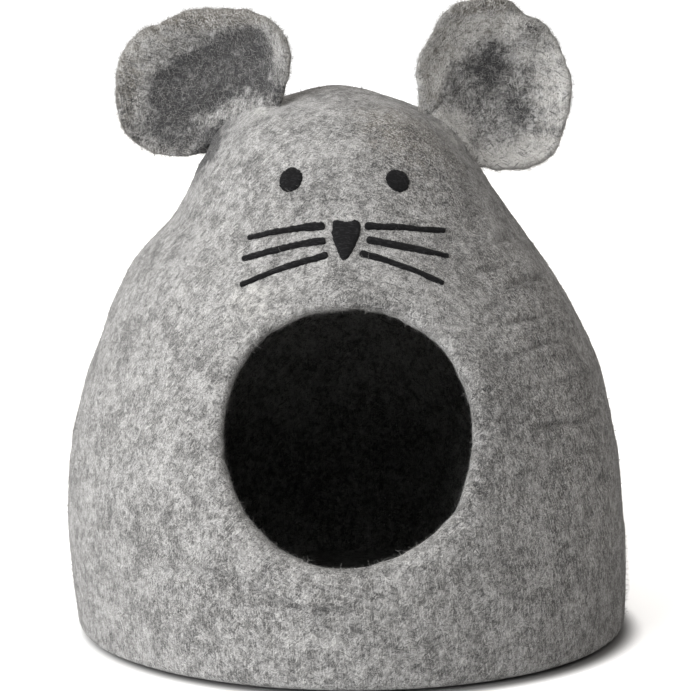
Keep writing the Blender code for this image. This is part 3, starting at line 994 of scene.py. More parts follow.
    def reach_wall(self, turns: Numbers, tilts: Numbers) -> Points:
        """Follow rays from the heart to the wall.

        Args:
            turns: Turns round the doorway's axis, in radians.
            tilts: Angles away from the doorway, in radians.

        Returns:
            The points of the wall, turns by tilts by 3.
        """
        turn, tilt = np.meshgrid(turns, tilts, indexing="ij")
        way = stacked(np.cos(turn) * np.sin(tilt), -np.cos(tilt), np.sin(turn) * np.sin(tilt))
        near, far = np.zeros(turn.shape), np.full(turn.shape, self.farthest)
        for _ in range(self.halvings):
            middle = (near + far) / 2.0
            x, y, z = np.moveaxis(self.heart + way * middle[..., None], -1, 0)
            half, shift = self.level(z)
            within = (z > 0.0) & (z < self.sections[-1][0]) & ((x - shift) ** 2 + y**2 < half**2)
            near, far = np.where(within, middle, near), np.where(within, far, middle)
        return self.heart + way * near[..., None]

    def wall_grid(self, turns: Numbers) -> Points:
        """Lay rings of points over the wall, from the doorway's collar to the middle of the back.

        Args:
            turns: The columns' turns, in radians.

        Returns:
            The grid, rings by columns by 3.
        """
        tilts = np.linspace(*self.tilts)
        hits = self.reach_wall(turns, tilts)
        start = self.door.radius(np.degrees(turns)) + self.collar
        u = np.linspace(0.0, 1.0, self.rings + 1)
        share = (u + self.crowd * u * u) / (1.0 + self.crowd)
        front = tilts < math.radians(self.door_tilt)
        grid = np.zeros((self.rings + 1, len(turns), 3))
        for c, line in enumerate(hits):
            along = np.concatenate([[0.0], np.cumsum(apart(np.diff(line, axis=0)))])
            from_middle = np.hypot(line[:, 0] - self.door_x, line[:, 2] - self.door_z)
            first = np.interp(start[c], np.maximum.accumulate(from_middle[front]), along[front])
            at = first + (along[-1] - first) * share
            grid[:, c] = np.stack([np.interp(at, along, line[:, k]) for k in range(3)], axis=1)
        grid[-1] = grid[-1].mean(axis=0)
        return grid

    def swelled(self, points: Points, out: Points) -> Points:
        """Move points of the wall outwards by its soft bulges and dents.

        Args:
            points: The points, in an array of any shape by 3.
            out: The wall's normals there.

        Returns:
            The moved points.
        """
        x, y, z = np.moveaxis(points, -1, 0)
        turn, across = np.degrees(np.arctan2(y, x)), np.hypot(x, y)
        rise = np.zeros(x.shape)
        for s in self.swells:
            round_wall = np.radians(turn_between(turn, s.turn)) * across
            rise += s.rise * bell(np.hypot(round_wall, z - s.height) / s.reach)
        moved = points + out * (rise * np.clip(z / self.swell_start, 0.0, 1.0))[..., None]
        moved[..., 2] = np.maximum(moved[..., 2], 0.0)
        return moved

    def lip(self, turns: Numbers, out: Points, inside: Points) -> list[Points]:
        """Roll the felt round the doorway's edge.

        Args:
            turns: The columns' turns, in radians.
            out: The wall's normals at its first ring.
            inside: The first ring of the inner wall, which the roll ends at.

        Returns:
            The rings from the collar, without it, over the edge and inwards.
        """
        rim = self.door.radius(np.degrees(turns))
        ring = stacked(rim * np.cos(turns), rim * np.sin(turns), 0.0)
        wobble = layered(ring, self.lip_wobble, self.lip_seed)
        rings = []
        for k in range(1, self.lip_rings + 1):
            bend = math.pi / 2.0 * k / self.lip_rings
            radius = rim + self.collar * (1.0 - math.sin(bend)) + wobble * math.sin(bend) ** 3
            x = self.door_x + radius * np.cos(turns)
            z = self.door_z + radius * np.sin(turns)
            wall = self.swelled(self.front(x, z), out)
            depth = self.lip_depth * (1.0 + self.lip_lean * np.sin(turns)) * (1.0 - math.cos(bend))
            rings.append(wall + stacked(0.0, depth, 0.0))
        edge = rings[-1]
        over = edge + (0.0, self.lip_round, 0.0)
        for k in range(1, self.lip_rings):
            t = k / self.lip_rings
            rings.append((1.0 - t) ** 2 * edge + 2.0 * t * (1.0 - t) * over + t * t * inside)
        return rings

    def shell(self) -> tuple[Cloth, Numbers]:
        """Build the smooth shell.

        Returns:
            The closed mesh, and how much of the wool's unevenness each of its points takes.
        """
        turns = np.linspace(0.0, math.tau, self.columns, endpoint=False)
        outer = self.wall_grid(turns)
        out = grid_normals(outer, self.heart, closed=True)
        outer = self.swelled(outer, out)
        near_door = np.exp(-apart(outer, outer[:1]) / self.lip_reach)
        inner = outer - out * (self.wall + (self.lip_wall - self.wall) * near_door)[..., None]
        lip = self.lip(turns, out[0], inner[0])
        rings = [*outer[::-1], *lip, inner[0], *inner[2::2, ::2]]
        outside = len(outer) + self.lip_rings
        rings = [self.thinned(ring) for ring in rings]
        weights = [1.0 if k < outside else self.inner_share for k in range(len(rings))]
        return stitch_rings(rings), np.repeat(weights, [len(ring) for ring in rings])

    def felted(self, cloth: Cloth, weight: Numbers, ears: Sequence["Ear"]) -> Cloth:
        """Give the smooth shell the unevenness of wool felted by hand, and raise it to meet the ears.

        Args:
            cloth: The shell.
            weight: How much of the unevenness each point takes.
            ears: The ears.

        Returns:
            The shell, moved along its normals.
        """
        points = cloth.points
        rise = layered(points, self.wool_lumps, 0) * weight
        outside = weight == 1.0
        wall = points[outside]
        for crease in self.creases:
            rise[outside] += crease.rise(wall, self)
        for ear in ears:
            rise[outside] += ear.raise_head(wall)
        creased = self.tints(wall)[:, CREASES]
        ripples = lumps(wall / self.ripple_stretch, self.ripple_width, self.ripple_seed)
        rise[outside] += self.ripple_rise * creased * ripples
        rise *= smooth_step(points[:, 2], 0.0, self.flat_foot)
        moved = points + cloth.normals() * rise[:, None]
        moved[:, 2] = np.maximum(moved[:, 2], 0.0)
        return Cloth(moved, cloth.faces, cloth.corners)

    def tints(self, points: Points) -> Numbers:
        """Find the four amounts at each point, with the shade and light painted into them.

        Args:
            points: Points of the wall, one a row.

        Returns:
            The amounts, one row for each.
        """
        total = np.zeros((len(points), 4))
        for tuft in self.tufts:
            total += bell(apart(points, tuft.middle) / tuft.reach)[:, None] * tuft.row
        # the creases' shade is painted into the charcoal amount
        for crease in self.creases:
            total[:, CHARCOAL_AND_PAINTED_SHADE] += crease.painted_shade(points, self)
        return np.clip(total, 0.0, 1.0)

    def build(self, ears: Sequence["Ear"]) -> tuple[Cloth, Numbers]:
        """Make the body.

        Args:
            ears: The ears that stand on it.

        Returns:
            Its mesh, and whether each point lies outside.
        """
        shell, weight = self.shell()
        cloth = self.felted(shell, weight, ears)
        wool = self.wool
        body = fasten(cloth.piece(BODY, wool.dress(), self.tints(cloth.points)), wool.slot, "body")
        return cloth, weight == 1.0

    def shag(self, cloth: Cloth, outside: Numbers, face: Sequence[Cloth]) -> None:
        """Scatter loose fibres over the outside, but not over the black felt, and along the doorway.

        Args:
            cloth: The body's mesh.
            outside: Whether each of its points lies outside.
            face: The meshes of the face's pieces.
        """
        bare = outside & (cloth.points[:, 2] > self.bare_foot)
        for feature in face:
            tree = feature.tree()
            span = apart(feature.points, feature.points[0]).max() + self.bare_face
            for k in np.flatnonzero(bare & (apart(cloth.points, feature.points[0]) < span)):
                bare[k] = tree.find_nearest(Vector(cloth.points[k]), self.bare_face)[0] is None
        self.fuzz.build(cloth, bare)
        x, z = cloth.points[:, 0] - self.door_x, cloth.points[:, 2] - self.door_z
        rim = self.door.radius(np.degrees(np.arctan2(z, x))) + self.lip_fuzz_reach
        self.lip_fuzz.build(cloth, outside & (np.hypot(x, z) < rim) & (cloth.points[:, 1] < 0.0))

    def thinned(self, ring: Points) -> Points:
        """Drop every second point of a ring while they lie too close.

        Args:
            ring: The ring's points.

        Returns:
            What is left: a ring, or one point where it is a point already.
        """
        if np.ptp(ring, axis=0).max() < POINT_SIZE:
            return ring[:1]
        while len(ring) % 2 == 0 and len(ring) > self.fewest:
            if apart(ring, np.roll(ring, 1, axis=0)).mean() > self.closest:
                break
            ring = ring[::2]
        return ring


def stitch_rings(rings: Sequence[Points]) -> Cloth:
    """Join rings of points into a closed surface.

    Args:
        rings: The rings in order. A ring has as many points as the one before it, or half or twice
            as many; the first and last are single points.

    Returns:
        The surface.
    """
    starts = np.concatenate([[0], np.cumsum([len(ring) for ring in rings])])
    faces: list[tuple[int, ...]] = []
    corners: list[Pair] = []
    for k, (ring, following) in enumerate(zip(rings, rings[1:])):
        counts = len(ring), len(following)
        few, many = min(counts), max(counts)
        for j in range(few if few > 1 else many):
            for face in ring_cells(counts, j):
                faces.append(tuple(int(starts[k + side]) + index % counts[side] for side, index in face))
                for side, index in face:
                    across = index / counts[side] if counts[side] > 1 else (j + 0.5) / many
                    corners.append((across, (k + side) / (len(rings) - 1)))
    return Cloth(np.concatenate(rings), faces, corners)


def ring_cells(counts: tuple[int, int], j: int) -> list[list[tuple[int, int]]]:
    """Return the faces between two rings at one step.

    Args:
        counts: How many points each ring has.
        j: The step.

    Returns:
        Faces, each a list of (ring, index) pairs, where the ring is 0 or 1.
    """
    a, b = counts
    if b == 1:
        return [[(0, j), (0, j + 1), (1, 0)]]
    if a == 1:
        return [[(0, 0), (1, j + 1), (1, j)]]
    if a == b:
        return [[(0, j), (0, j + 1), (1, j + 1), (1, j)]]
    i = 2 * j
    if a > b:
        return [[(0, i), (0, i + 1), (1, j)], [(0, i + 1), (1, j + 1), (1, j)],
                [(0, i + 1), (0, i + 2), (1, j + 1)]]
    return [[(0, j), (1, i + 1), (1, i)], [(0, j), (0, j + 1), (1, i + 1)],
            [(0, j + 1), (1, i + 2), (1, i + 1)]]


def signed_gap(spot: Vector, surface: BVHTree) -> tuple[float, Vector, Vector]:
    """Return how far a point is over a surface, the nearest place on it, and its normal there."""
    hit, normal, _, gap = surface.find_nearest(spot)
    return math.copysign(gap, (spot - hit).dot(normal)), hit, normal


# ---- The ears ------------------------------------------------------------------------------------

@dataclass(frozen=True)
class Oval:
    """An oval place in an ear's hollow: its middle, half sizes and lean in degrees."""

    x: float
    y: float
    half_x: float
    half_y: float
    lean: float

    def away(self, x: Numbers, y: Numbers) -> Numbers:
        """Measure how far these places are from the oval's middle.

        Args:
            x: Places across the ear.
            y: Places up the ear.

        Returns:
            Distances, which are 1 on the oval's edge.
        """
        turn = math.radians(self.lean)
        u = ((x - self.x) * math.cos(turn) + (y - self.y) * math.sin(turn)) / self.half_x
        v = ((y - self.y) * math.cos(turn) - (x - self.x) * math.sin(turn)) / self.half_y
        return np.hypot(u, v)


@dataclass(frozen=True)
class Patch(Amounts, Oval):
    """Other wool, laid into an ear's felt, or taken out of it where an amount is below 0; some hold painted
    shade and one painted light.
    """

    soft: float = 0.72                  # how softly it fades out across the oval's edge

    def share(self, x: Numbers, y: Numbers) -> Numbers:
        """Return how much of the patch lies at these places, from 0 to 1."""
        return smooth_step(self.away(x, y), 1.0 + self.soft, 1.0 - self.soft)


@dataclass(frozen=True)
class Fold(Oval):
    """A soft fold in an ear, and how far it comes forward."""

    rise: float

    def lift(self, x: Numbers, y: Numbers) -> Numbers:
        """Return how far the fold lifts the felt at these places."""
        return self.rise * bell(self.away(x, y))


@dataclass(frozen=True)
class Roll:
    """A rolled stretch of an ear's rim: its turn and half reach in degrees, and how far it stands up."""

    turn: float
    reach: float
    rise: float
    groove: float = 0.86                # where the groove lies, as a share of the way to the rim
    crest: float = 0.97                 # and where the roll has its full height
    groove_width: float = 0.045
    groove_depth: float = 0.15          # as a share of the rise

    def lift(self, turns: Numbers, share: Numbers) -> Numbers:
        """Lift the felt at the rim, and lower it along a groove inside it.

        Args:
            turns: Turns round the ear, in degrees.
            share: Shares of the way to the rim.

        Returns:
            How far the felt comes forward.
        """
        along = bell(turn_between(turns, self.turn) / self.reach)
        groove = bell((share - self.groove) / self.groove_width)
        return self.rise * along * (smooth_step(share, self.groove, self.crest) - self.groove_depth * groove)


@dataclass(frozen=True)
class Ear:
    """A cupped round of felt, felted onto the head at its root."""

    name: str
    node: str
    centre: Triple
    facing: Triple
    dish: float                         # how deep its hollow is
    rim: Rim
    patches: tuple[Patch, ...]
    folds: tuple[Fold, ...]
    flat: Pair
    area: float
    seed: int
    cells: int = 92
    crowd: float = 0.35                 # how much closer the points lie at the rim
    felt: float = 0.0054                # its thickness
    round_edge: float = 0.9             # the share of the way to the rim where its edge starts to round
    rim_lumps: tuple[Pair, ...] = ((0.018, 0.0014), (0.0085, 0.0011), (0.0042, 0.0006))  # sizes and heights
    waves: tuple[Pair, ...] = ((0.04, 0.0026), (0.016, 0.001))  # the same for the waves of the felt
    calm: float = 0.3                   # how much of the waves there is in the middle
    pile: tuple[Pair, ...] = ((0.0082, 0.00045), (0.0043, 0.00028))  # the same for the fine unevenness
    ground: Amounts = Amounts()         # the wool of the whole ear
    behind: Amounts = Amounts(charcoal_and_painted_shade=0.1, warm=0.3)  # what is added on its back, towards the rim
    rolls: tuple[Roll, ...] = ()
    root_reach: float = 0.017           # how near the head the root starts to thicken
    root_rise: Pair = (0.0046, 0.0024)  # and by how much, in front and behind
    root_share: float = 0.82            # the share of the way to the rim where that starts to fade
    embed: Pair = (0.0012, 0.0022)      # how deep its front and its back go into the head
    span: float = 0.11                  # the head rises no farther from the ear's middle than this
    loose: Colour = (0.3, 0.296, 0.286)
    loose_count: int = 5000
    loose_width: float = 0.00013
    rim_share: float = 0.965            # the share of the way to the rim where the rim's own fibres start
    contrast: float = 1.2
    rim_loose: Colour = (0.215, 0.206, 0.19)

    @cached_property
    def axes(self) -> Numbers:
        """Find the ear's own directions.

        Returns:
            The unit vectors across, up and out of the ear, one a row.
        """
        out = np.array(self.facing) / np.linalg.norm(self.facing)
        across = np.cross((0.0, 0.0, 1.0), out)
        across /= np.linalg.norm(across)
        return np.array([across, np.cross(out, across), out])

    def sheet(self) -> tuple[Points, Numbers, Numbers, Numbers]:
        """Shape the middle of the felt.

        Returns:
            Its points as a grid, each point's share of the way to the rim, and its x and y in the ear.
        """
        turns, share = disc_places(self.cells, self.crowd)
        way = stacked(np.cos(np.radians(turns)), np.sin(np.radians(turns)), 0.0)
        ragged = layered(way * self.flat[0] / 2.0, self.rim_lumps, self.seed)
        radius = self.rim.radius(turns) + ragged * share**4
        x, y = radius * share * way[..., 0], radius * share * way[..., 1]
        depth = -self.dish * (1.0 - share**2)
        for fold in self.folds:
            depth = depth + fold.lift(x, y)
        for roll in self.rolls:
            depth = depth + roll.lift(turns, share)
        waves = layered(stacked(x, y, 0.0), self.waves, self.seed + len(self.rim_lumps))
        depth = depth + waves * (self.calm + (1.0 - self.calm) * share**2)
        return self.centre + stacked(x, y, depth) @ self.axes, share, x, y

    def build(self, head: BVHTree) -> Cloth:
        """Make the ear.

        Args:
            head: The dome's outer surface.

        Returns:
            Its mesh.
        """
        middle, share, x, y = self.sheet()
        out = grid_normals(middle, self.centre - self.axes[2], closed=False)
        edge = np.clip((share - self.round_edge) / (1.0 - self.round_edge), 0.0, 1.0)
        half = self.felt / 2.0 * np.sqrt(1.0 - edge**2)
        layers = []
        for side in (1.0, -1.0):
            layer = middle + side * out * half[..., None]
            fine = layered(layer, self.pile, self.seed + len(self.rim_lumps + self.waves))
            layer = layer + side * out * (fine * (1.0 - edge))[..., None]
            layers.append(self.root(layer, side * out, share, head, side))
        cloth = two_layers(*layers)
        wool = HeatherFelt(self.node + "_wool", Slot.EAR, contrast=self.contrast)
        ear = fasten(cloth.piece(self.name, wool.dress(), self.tints(x, y, share)), wool.slot, self.node)
        return cloth

    def shag(self, cloth: Cloth, head: BVHTree) -> None:
        """Scatter loose fibres over the ear, and more along its rim.

        Args:
            cloth: The ear's mesh.
            head: The dome's outer surface.
        """
        bare = np.array([signed_gap(Vector(point), head)[0] > 0.0 for point in cloth.points])
        away = apart((cloth.points - self.centre) @ self.axes[:2].T)
        rim = away > self.rim_share * self.reach(cloth.points)
        parts = ((self.node, self.loose, bare), (self.node + "_rim", self.rim_loose, bare & rim))
        for step, (name, colour, chosen) in enumerate(parts):
            wool = LooseWool(name + "_loose_wool", Slot.EAR, colour)
            seed = FUZZ_SEED * self.seed + step
            fuzz = Fuzz(name + "_fuzz", wool, self.loose_count, seed, width=self.loose_width)
            fuzz.build(cloth, chosen)

    def root(self, layer: Points, out: Points, share: Numbers, head: BVHTree, side: float) -> Points:
        """Thicken a layer's root and lay what is left of it under the head's surface.

        Args:
            layer: The layer's grid of points.
            out: Their normals, away from the sheet's middle.
            share: Each point's share of the way to the rim.
            head: The dome's outer surface.
            side: 1 for the front layer, -1 for the back.

        Returns:
            The layer, moved.
        """
        moved = layer.copy()
        ahead = side > 0.0
        for place in np.ndindex(share.shape):
            spot = Vector(layer[place])
            over = signed_gap(spot, head)[0]
            spot += Vector(out[place]) * self.thickening(over, float(share[place]), ahead)
            over, hit, normal = signed_gap(spot, head)
            deepest = -self.embed[0 if ahead else 1]
            moved[place] = hit + normal * deepest if over < deepest else spot
        return moved

    def thickening(self, gap: float, share: float, ahead: bool) -> float:
        """Return the wool that is added where the ear runs into the head.

        Args:
            gap: The distance from the other surface.
            share: The share of the way to the ear's rim.
            ahead: Whether this is in front of the ear.

        Returns:
            Its thickness.
        """
        near = min(1.0, max(0.0, 1.0 - gap / self.root_reach))
        keep = 1.0 - float(smooth_step(share, self.root_share, 1.0))
        return self.root_rise[0 if ahead else 1] * near * near * keep

    @cached_property
    def tree(self) -> BVHTree:
        """Return a tree that finds the middle of the ear's felt."""
        middle = self.sheet()[0]
        return two_layers(middle, middle).tree()

    def reach(self, points: Points) -> Numbers:
        """Return how far the ear's rim is from its middle, on the way to each of these points."""
        x, y, _ = self.axes @ (points - self.centre).T
        return self.rim.radius(np.degrees(np.arctan2(y, x)))

    def raise_head(self, points: Points) -> Numbers:
        """Find how far the head's wool rises to meet the ear.

        Args:
            points: Points of the dome's outside, one a row.

        Returns:
            The rise at each.
        """
        rise = np.zeros(len(points))
        for k in np.flatnonzero(apart(points, self.centre) < self.span):
            hit, _, _, gap = self.tree.find_nearest(Vector(points[k]), self.root_reach + self.felt)
            if hit is None:
                continue
            x, y, _ = self.axes @ (np.array(hit) - self.centre)
            share = math.hypot(x, y) / float(self.rim.radius(np.degrees(math.atan2(y, x))))
            ahead = float((points[k] - np.array(hit)) @ self.axes[2]) > 0.0
            rise[k] = self.thickening(gap - self.felt / 2.0, share, ahead)
        return rise

    def tints(self, x: Numbers, y: Numbers, share: Numbers) -> Numbers:
        """Find the wool's four amounts at each point.

        Args:
            x: The grid's places across the ear.
            y: Its places up the ear.
            share: Each place's share of the way to the rim.

        Returns:
            The amounts, one row for each point, the front layer first.
        """
        total = np.zeros((*x.shape, 4)) + self.ground.row
        for patch in self.patches:
            total += patch.share(x, y)[..., None] * patch.row
        back = self.ground.row + share[1:-1, 1:-1, None] ** 2 * self.behind.row
        return np.concatenate([np.clip(total, 0.0, 1.0).reshape(-1, 4), back.reshape(-1, 4)])


# ---- The face ------------------------------------------------------------------------------------

@dataclass(frozen=True)
class Spot:
    """A rounded piece of black felt on the face: an eye or the nose.

    An outline goes round clockwise in half widths and heights, from a mark that lies the first part of
    a turn from +X.
    """

    name: str
    x: float
    z: float
    half_width: float
    half_height: float
    lean: float = 0.0
    outline: tuple[Pair, ...] = ()
    fill: float = math.pi / 4.0         # the share of its rectangle that it fills
    seed: int = 40
    cells: int = 36
    crowd: float = 0.3
    first: float = 0.125
    crown: float = 0.0022               # its height in the middle
    level: float = 0.72                 # its height beside the edge, as a share of the crown
    edge: float = 0.7                   # the share of the way to the rim where its edge starts to round
    spread: float = 0.0006              # how far the felting spreads it on each side
    edge_lumps: tuple[Pair, ...] = ((0.42, 0.04), (0.17, 0.045), (0.09, 0.03))

    @property
    def flat(self) -> Pair:
        """Return the piece's full width and height."""
        return 2.0 * (self.half_width + self.spread), 2.0 * (self.half_height + self.spread)

    def places(self) -> tuple[Numbers, Numbers, Numbers]:
        """Draw the piece as it is seen from in front.

        Returns:
            The x and z of its grid, and each point's share of the way to its rim.
        """
        turns, share = disc_places(self.cells, self.crowd)
        if self.outline:
            rim = np.array(self.outline)
            way = np.mod(self.first - turns / 360.0, 1.0) * len(rim)
            i = np.minimum(way.astype(int), len(rim) - 1)
            u, v = np.moveaxis(closed_spline(rim, i, (way - i)[..., None]), -1, 0)
        else:
            u, v = np.cos(np.radians(turns)), np.sin(np.radians(turns))
        ragged = (1.0 + layered(stacked(u, v, 0.0), self.edge_lumps, self.seed)) * share / 2.0
        u, v = u * ragged * self.flat[0], v * ragged * self.flat[1]
        turn = math.radians(self.lean)
        x = self.x + u * math.cos(turn) - v * math.sin(turn)
        return x, self.z + u * math.sin(turn) + v * math.cos(turn), share

    def rise(self, share: Numbers) -> Numbers:
        """Return the piece's height over the wall: a soft crown with a round edge."""
        edge = np.clip((share - self.edge) / (1.0 - self.edge), 0.0, 1.0)
        return self.crown * (self.level + (1.0 - self.level) * (1.0 - share**2)) * np.sqrt(1.0 - edge**2)


@dataclass(frozen=True)
class Whisker:
    """A strip of black felt: its ends (x, z) from in front, how far its middle arches, and its width.

    Its two edges are uneven each in its own way, because their lumps are read edges_apart to both sides.
    """

    name: str
    inner: Pair
    outer: Pair
    arch: float
    width: float
    seed: int
    cells: tuple[int, int] = (96, 10)
    tip: float = 0.66                   # the outer end's width, as a share of the inner end's
    crown: float = 0.0021               # its height along the middle
    spread: float = 0.0013              # how much wider the felting makes it
    edge_lumps: tuple[Pair, ...] = ((0.0085, 0.13), (0.0024, 0.16))
    edges_apart: float = 0.01
    wave: Pair = (0.014, 0.0005)        # the size and the height of its waves

    def places(self) -> tuple[Numbers, Numbers, Numbers]:
        """Draw the strip as it is seen from in front.

        Returns:
            The x and z of its grid, and each point's share of the way from its line to its edge.
        """
        along_it, across_it = (np.linspace(low, 1.0, n + 1) for low, n in zip((0.0, -1.0), self.cells))
        part, side = np.meshgrid(along_it, across_it)
        start, end = np.array(self.inner), np.array(self.outer)
        along = end - start
        length = np.linalg.norm(along)
        up = np.array([-along[1], along[0]]) / length
        up *= math.copysign(1.0, up[1])
        spot = stacked(part * length, np.sign(side) * self.edges_apart, 0.0)
        uneven = 1.0 + layered(spot, self.edge_lumps, self.seed)
        width = (self.width + self.spread) * (1.0 - part * (1.0 - self.tip)) * uneven
        from_end = np.minimum(part, 1.0 - part) * length
        nib = np.clip(2.0 * from_end / width, 0.0, 1.0)
        width = width * np.sqrt(1.0 - (1.0 - nib) ** 2)
        wave = self.wave[1] * lumps(spot, self.wave[0], self.seed + len(self.edge_lumps))
        over = self.arch * 4.0 * part * (1.0 - part) + wave
        middle = start + along * part[..., None] + up * over[..., None]
        x, z = np.moveaxis(middle + up * (side * width / 2.0)[..., None], -1, 0)
        share = np.maximum(np.abs(side), 1.0 - nib)
        turn = slice(None, None, 1 if end[0] > start[0] else -1)
        return x[:, turn], z[:, turn], share[:, turn]

    def rise(self, share: Numbers) -> Numbers:
        """Return the strip's height over the wall, round like a strand of roving."""
        return self.crown * np.sqrt(np.maximum(0.0, 1.0 - share**2))


@dataclass(frozen=True)
class Face:
    """The eyes, the nose and the whiskers, needle-felted onto the dome's front.

    They are laid on from a place well ahead of the dome, and their backs are sunk a little into it.
    """

    spots: tuple[Spot, ...]
    whiskers: tuple[Whisker, ...]
    ahead: float = -1.0
    sunk: float = 0.0004
    wool: BlackFelt = BlackFelt()
    loose: LooseWool = LooseWool("loose_black_wool", Slot.BLACK, (0.006, 0.006, 0.0065))
    loose_count: int = 900
    loose_length: Pair = (0.0016, 0.004)
    loose_reach: Pair = (0.0001, 0.0008)
    loose_width: float = 0.00015
    pile: Pair = (0.0021, 0.00016)      # the size and the height of the black felt's unevenness
    pile_seed: int = 50

    def lay(self, feature: Spot | Whisker, wall: BVHTree) -> tuple[bpy.types.Object, Cloth]:
        """Lay one piece on the wall.

        Args:
            feature: The piece.
            wall: The dome's outer surface.

        Returns:
            The piece and its mesh.
        """
        x, z, share = feature.places()
        rise = feature.rise(share)
        front, back = np.zeros((*x.shape, 3)), np.zeros((*x.shape, 3))
        for place in np.ndindex(x.shape):
            start = Vector((x[place], self.ahead, z[place]))
            hit, normal, _, _ = wall.ray_cast(start, Vector((0.0, 1.0, 0.0)))
            front[place] = hit + normal * (float(rise[place]) - self.sunk)
            back[place] = hit - normal * self.sunk
        pile = lumps(front, self.pile[0], self.pile_seed)
        front[..., 1] -= self.pile[1] * pile * (1.0 - share**2)
        cloth = two_layers(front, back)
        piece = fasten(cloth.piece(feature.name + "_felt", self.wool.dress()), self.wool.slot, feature.name)
        fuzz = Fuzz(feature.name + "_fuzz", self.loose, self.loose_count, FUZZ_SEED * feature.seed,
                    self.loose_length, self.loose_reach, self.loose_width)
        fuzz.build(cloth, np.ones(len(cloth.points), bool))
        return piece, cloth

    def build(self, wall: BVHTree) -> list[Cloth]:
        """Lay every piece on the wall.

        Args:
            wall: The dome's outer surface.

        Returns:
            The pieces' meshes.
        """
        cloths = []
        for spot in self.spots:
            piece, cloth = self.lay(spot, wall)
            cloths.append(cloth)
        return cloths + [self.lay(whisker, wall)[1] for whisker in self.whiskers]


# ---- The studio ----------------------------------------------------------------------------------

@dataclass(frozen=True)
class Lamp:
    """A soft light.

    The turn that it comes from is counted from the front towards +X, and its rise from the horizon, both
    in degrees, like its spread.
    """

    name: str
    strength: float
    turn: float
    rise: float
    spread: float
    tint: Colour = (1.0, 1.0, 1.0)

    def hang(self) -> None:
        """Put the light into the scene."""
        data = bpy.data.lights.new(self.name, "SUN")
        data.energy, data.color, data.angle = self.strength, self.tint, math.radians(self.spread)
        turns = (math.radians(90.0 - self.rise), 0.0, math.radians(self.turn))
        place_object(self.name, data).rotation_euler = turns


